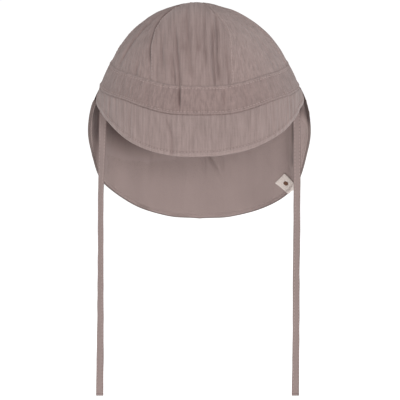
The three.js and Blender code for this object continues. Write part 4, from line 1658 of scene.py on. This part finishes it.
def label_rows():
    side = np.linspace(-LABEL_WIDTH / 2 + LABEL_ROW_INSET, LABEL_WIDTH / 2 - LABEL_ROW_INSET, 200)
    up = np.full_like(side, 1 - LABEL_ROW_MM / LABEL_LENGTH)
    rows = []
    for inside in (True, False):
        points = label_layer(side, up, inside, LABEL_THICKNESS)
        lifted = label_layer(side, up, inside, LABEL_THICKNESS + 1)
        rows.append((points, lifted - points))
    return rows


for name, (_, route, turns, *_) in TIES.items():
    stitch_piece(f"{name}_stitches", tie_rows(route, turns), thread)
stitch_piece("label_stitches", label_rows(), label_cloth)

# %% [markdown]
# ## Floor, light and colour
# The hat hangs over a plain pale floor, as if a head held it. The floor glows a little, so it
# stays as white as the paper under a product. It is no part of the hat.

# %% The floor
FLOOR_DROP = 0.06
FLOOR_RADIUS = 14
FLOOR_GREY = 0.93
FLOOR_GLOW = 0.42


def make_stage():
    bpy.ops.mesh.primitive_circle_add(vertices=96, radius=FLOOR_RADIUS, fill_type="NGON",
                                      location=(0, 0, cad_low.z - FLOOR_DROP))
    floor = bpy.context.object
    floor.name = "floor"
    paint = bpy.data.materials.new("floor_paint")
    paint.use_nodes = True
    shader = paint.node_tree.nodes["Principled BSDF"]
    shader.inputs["Base Color"].default_value = (FLOOR_GREY, FLOOR_GREY, FLOOR_GREY, 1)
    shader.inputs["Roughness"].default_value = 1.0
    shader.inputs["Specular IOR Level"].default_value = 0.0
    shader.inputs["Emission Color"].default_value = (1, 1, 1, 1)
    shader.inputs["Emission Strength"].default_value = FLOOR_GLOW
    floor.data.materials.append(paint)


make_stage()
print("floor lies below the ties' ends by, in mm:", round(FLOOR_DROP / MM))

# %% [markdown]
# A bright even surround gives the soft light of a product photograph. Alone it would flatten the
# crinkles, so three round lamps help it: a small key lamp close to the camera draws them, a rake
# lamp grazes them from the right, and a wide top lamp lifts the crown. All three stand a little to
# the right, so the left side of the crown and the cave under the peak stay darker.

# %% The lamps
SURROUND_STRENGTH = 0.55
# name, azimuth and height in degrees, distance and size in metres, power in watts
LAMPS = [
    ("key_lamp", 6, 13.9, 3.0, 0.35, 29), ("rake_lamp", 50, 40, 2.6, 0.5, 4),
    ("top_lamp", 8, 66, 2.4, 1.2, 24)]


def make_lamp(name, azimuth, height, distance, size, power):
    """A round soft lamp; azimuth turns from the camera's side towards the viewer's right."""
    turn, climb = math.radians(azimuth), math.radians(height)
    out, up = math.cos(climb), math.sin(climb)
    towards = Vector((math.sin(turn) * out, -math.cos(turn) * out, up))
    data = bpy.data.lights.new(name, "AREA")
    data.shape = "DISK"
    data.size = size
    data.energy = power
    lamp = bpy.data.objects.new(name, data)
    lamp.location = towards * distance
    lamp.rotation_mode = "QUATERNION"
    lamp.rotation_quaternion = (-towards).to_track_quat("-Z", "Y")
    lamp.visible_camera = False
    bpy.context.scene.collection.objects.link(lamp)


for lamp_facts in LAMPS:
    make_lamp(*lamp_facts)
surround = bpy.data.worlds.new("surround")
surround.use_nodes = True
surround.node_tree.nodes["Background"].inputs["Color"].default_value = (1, 1, 1, 1)
surround.node_tree.nodes["Background"].inputs["Strength"].default_value = SURROUND_STRENGTH
bpy.context.scene.world = surround
bpy.context.scene.view_settings.view_transform = "Standard"

# %% [markdown]
# ## Size
# Cloth may stand a little proud of the measured solids.
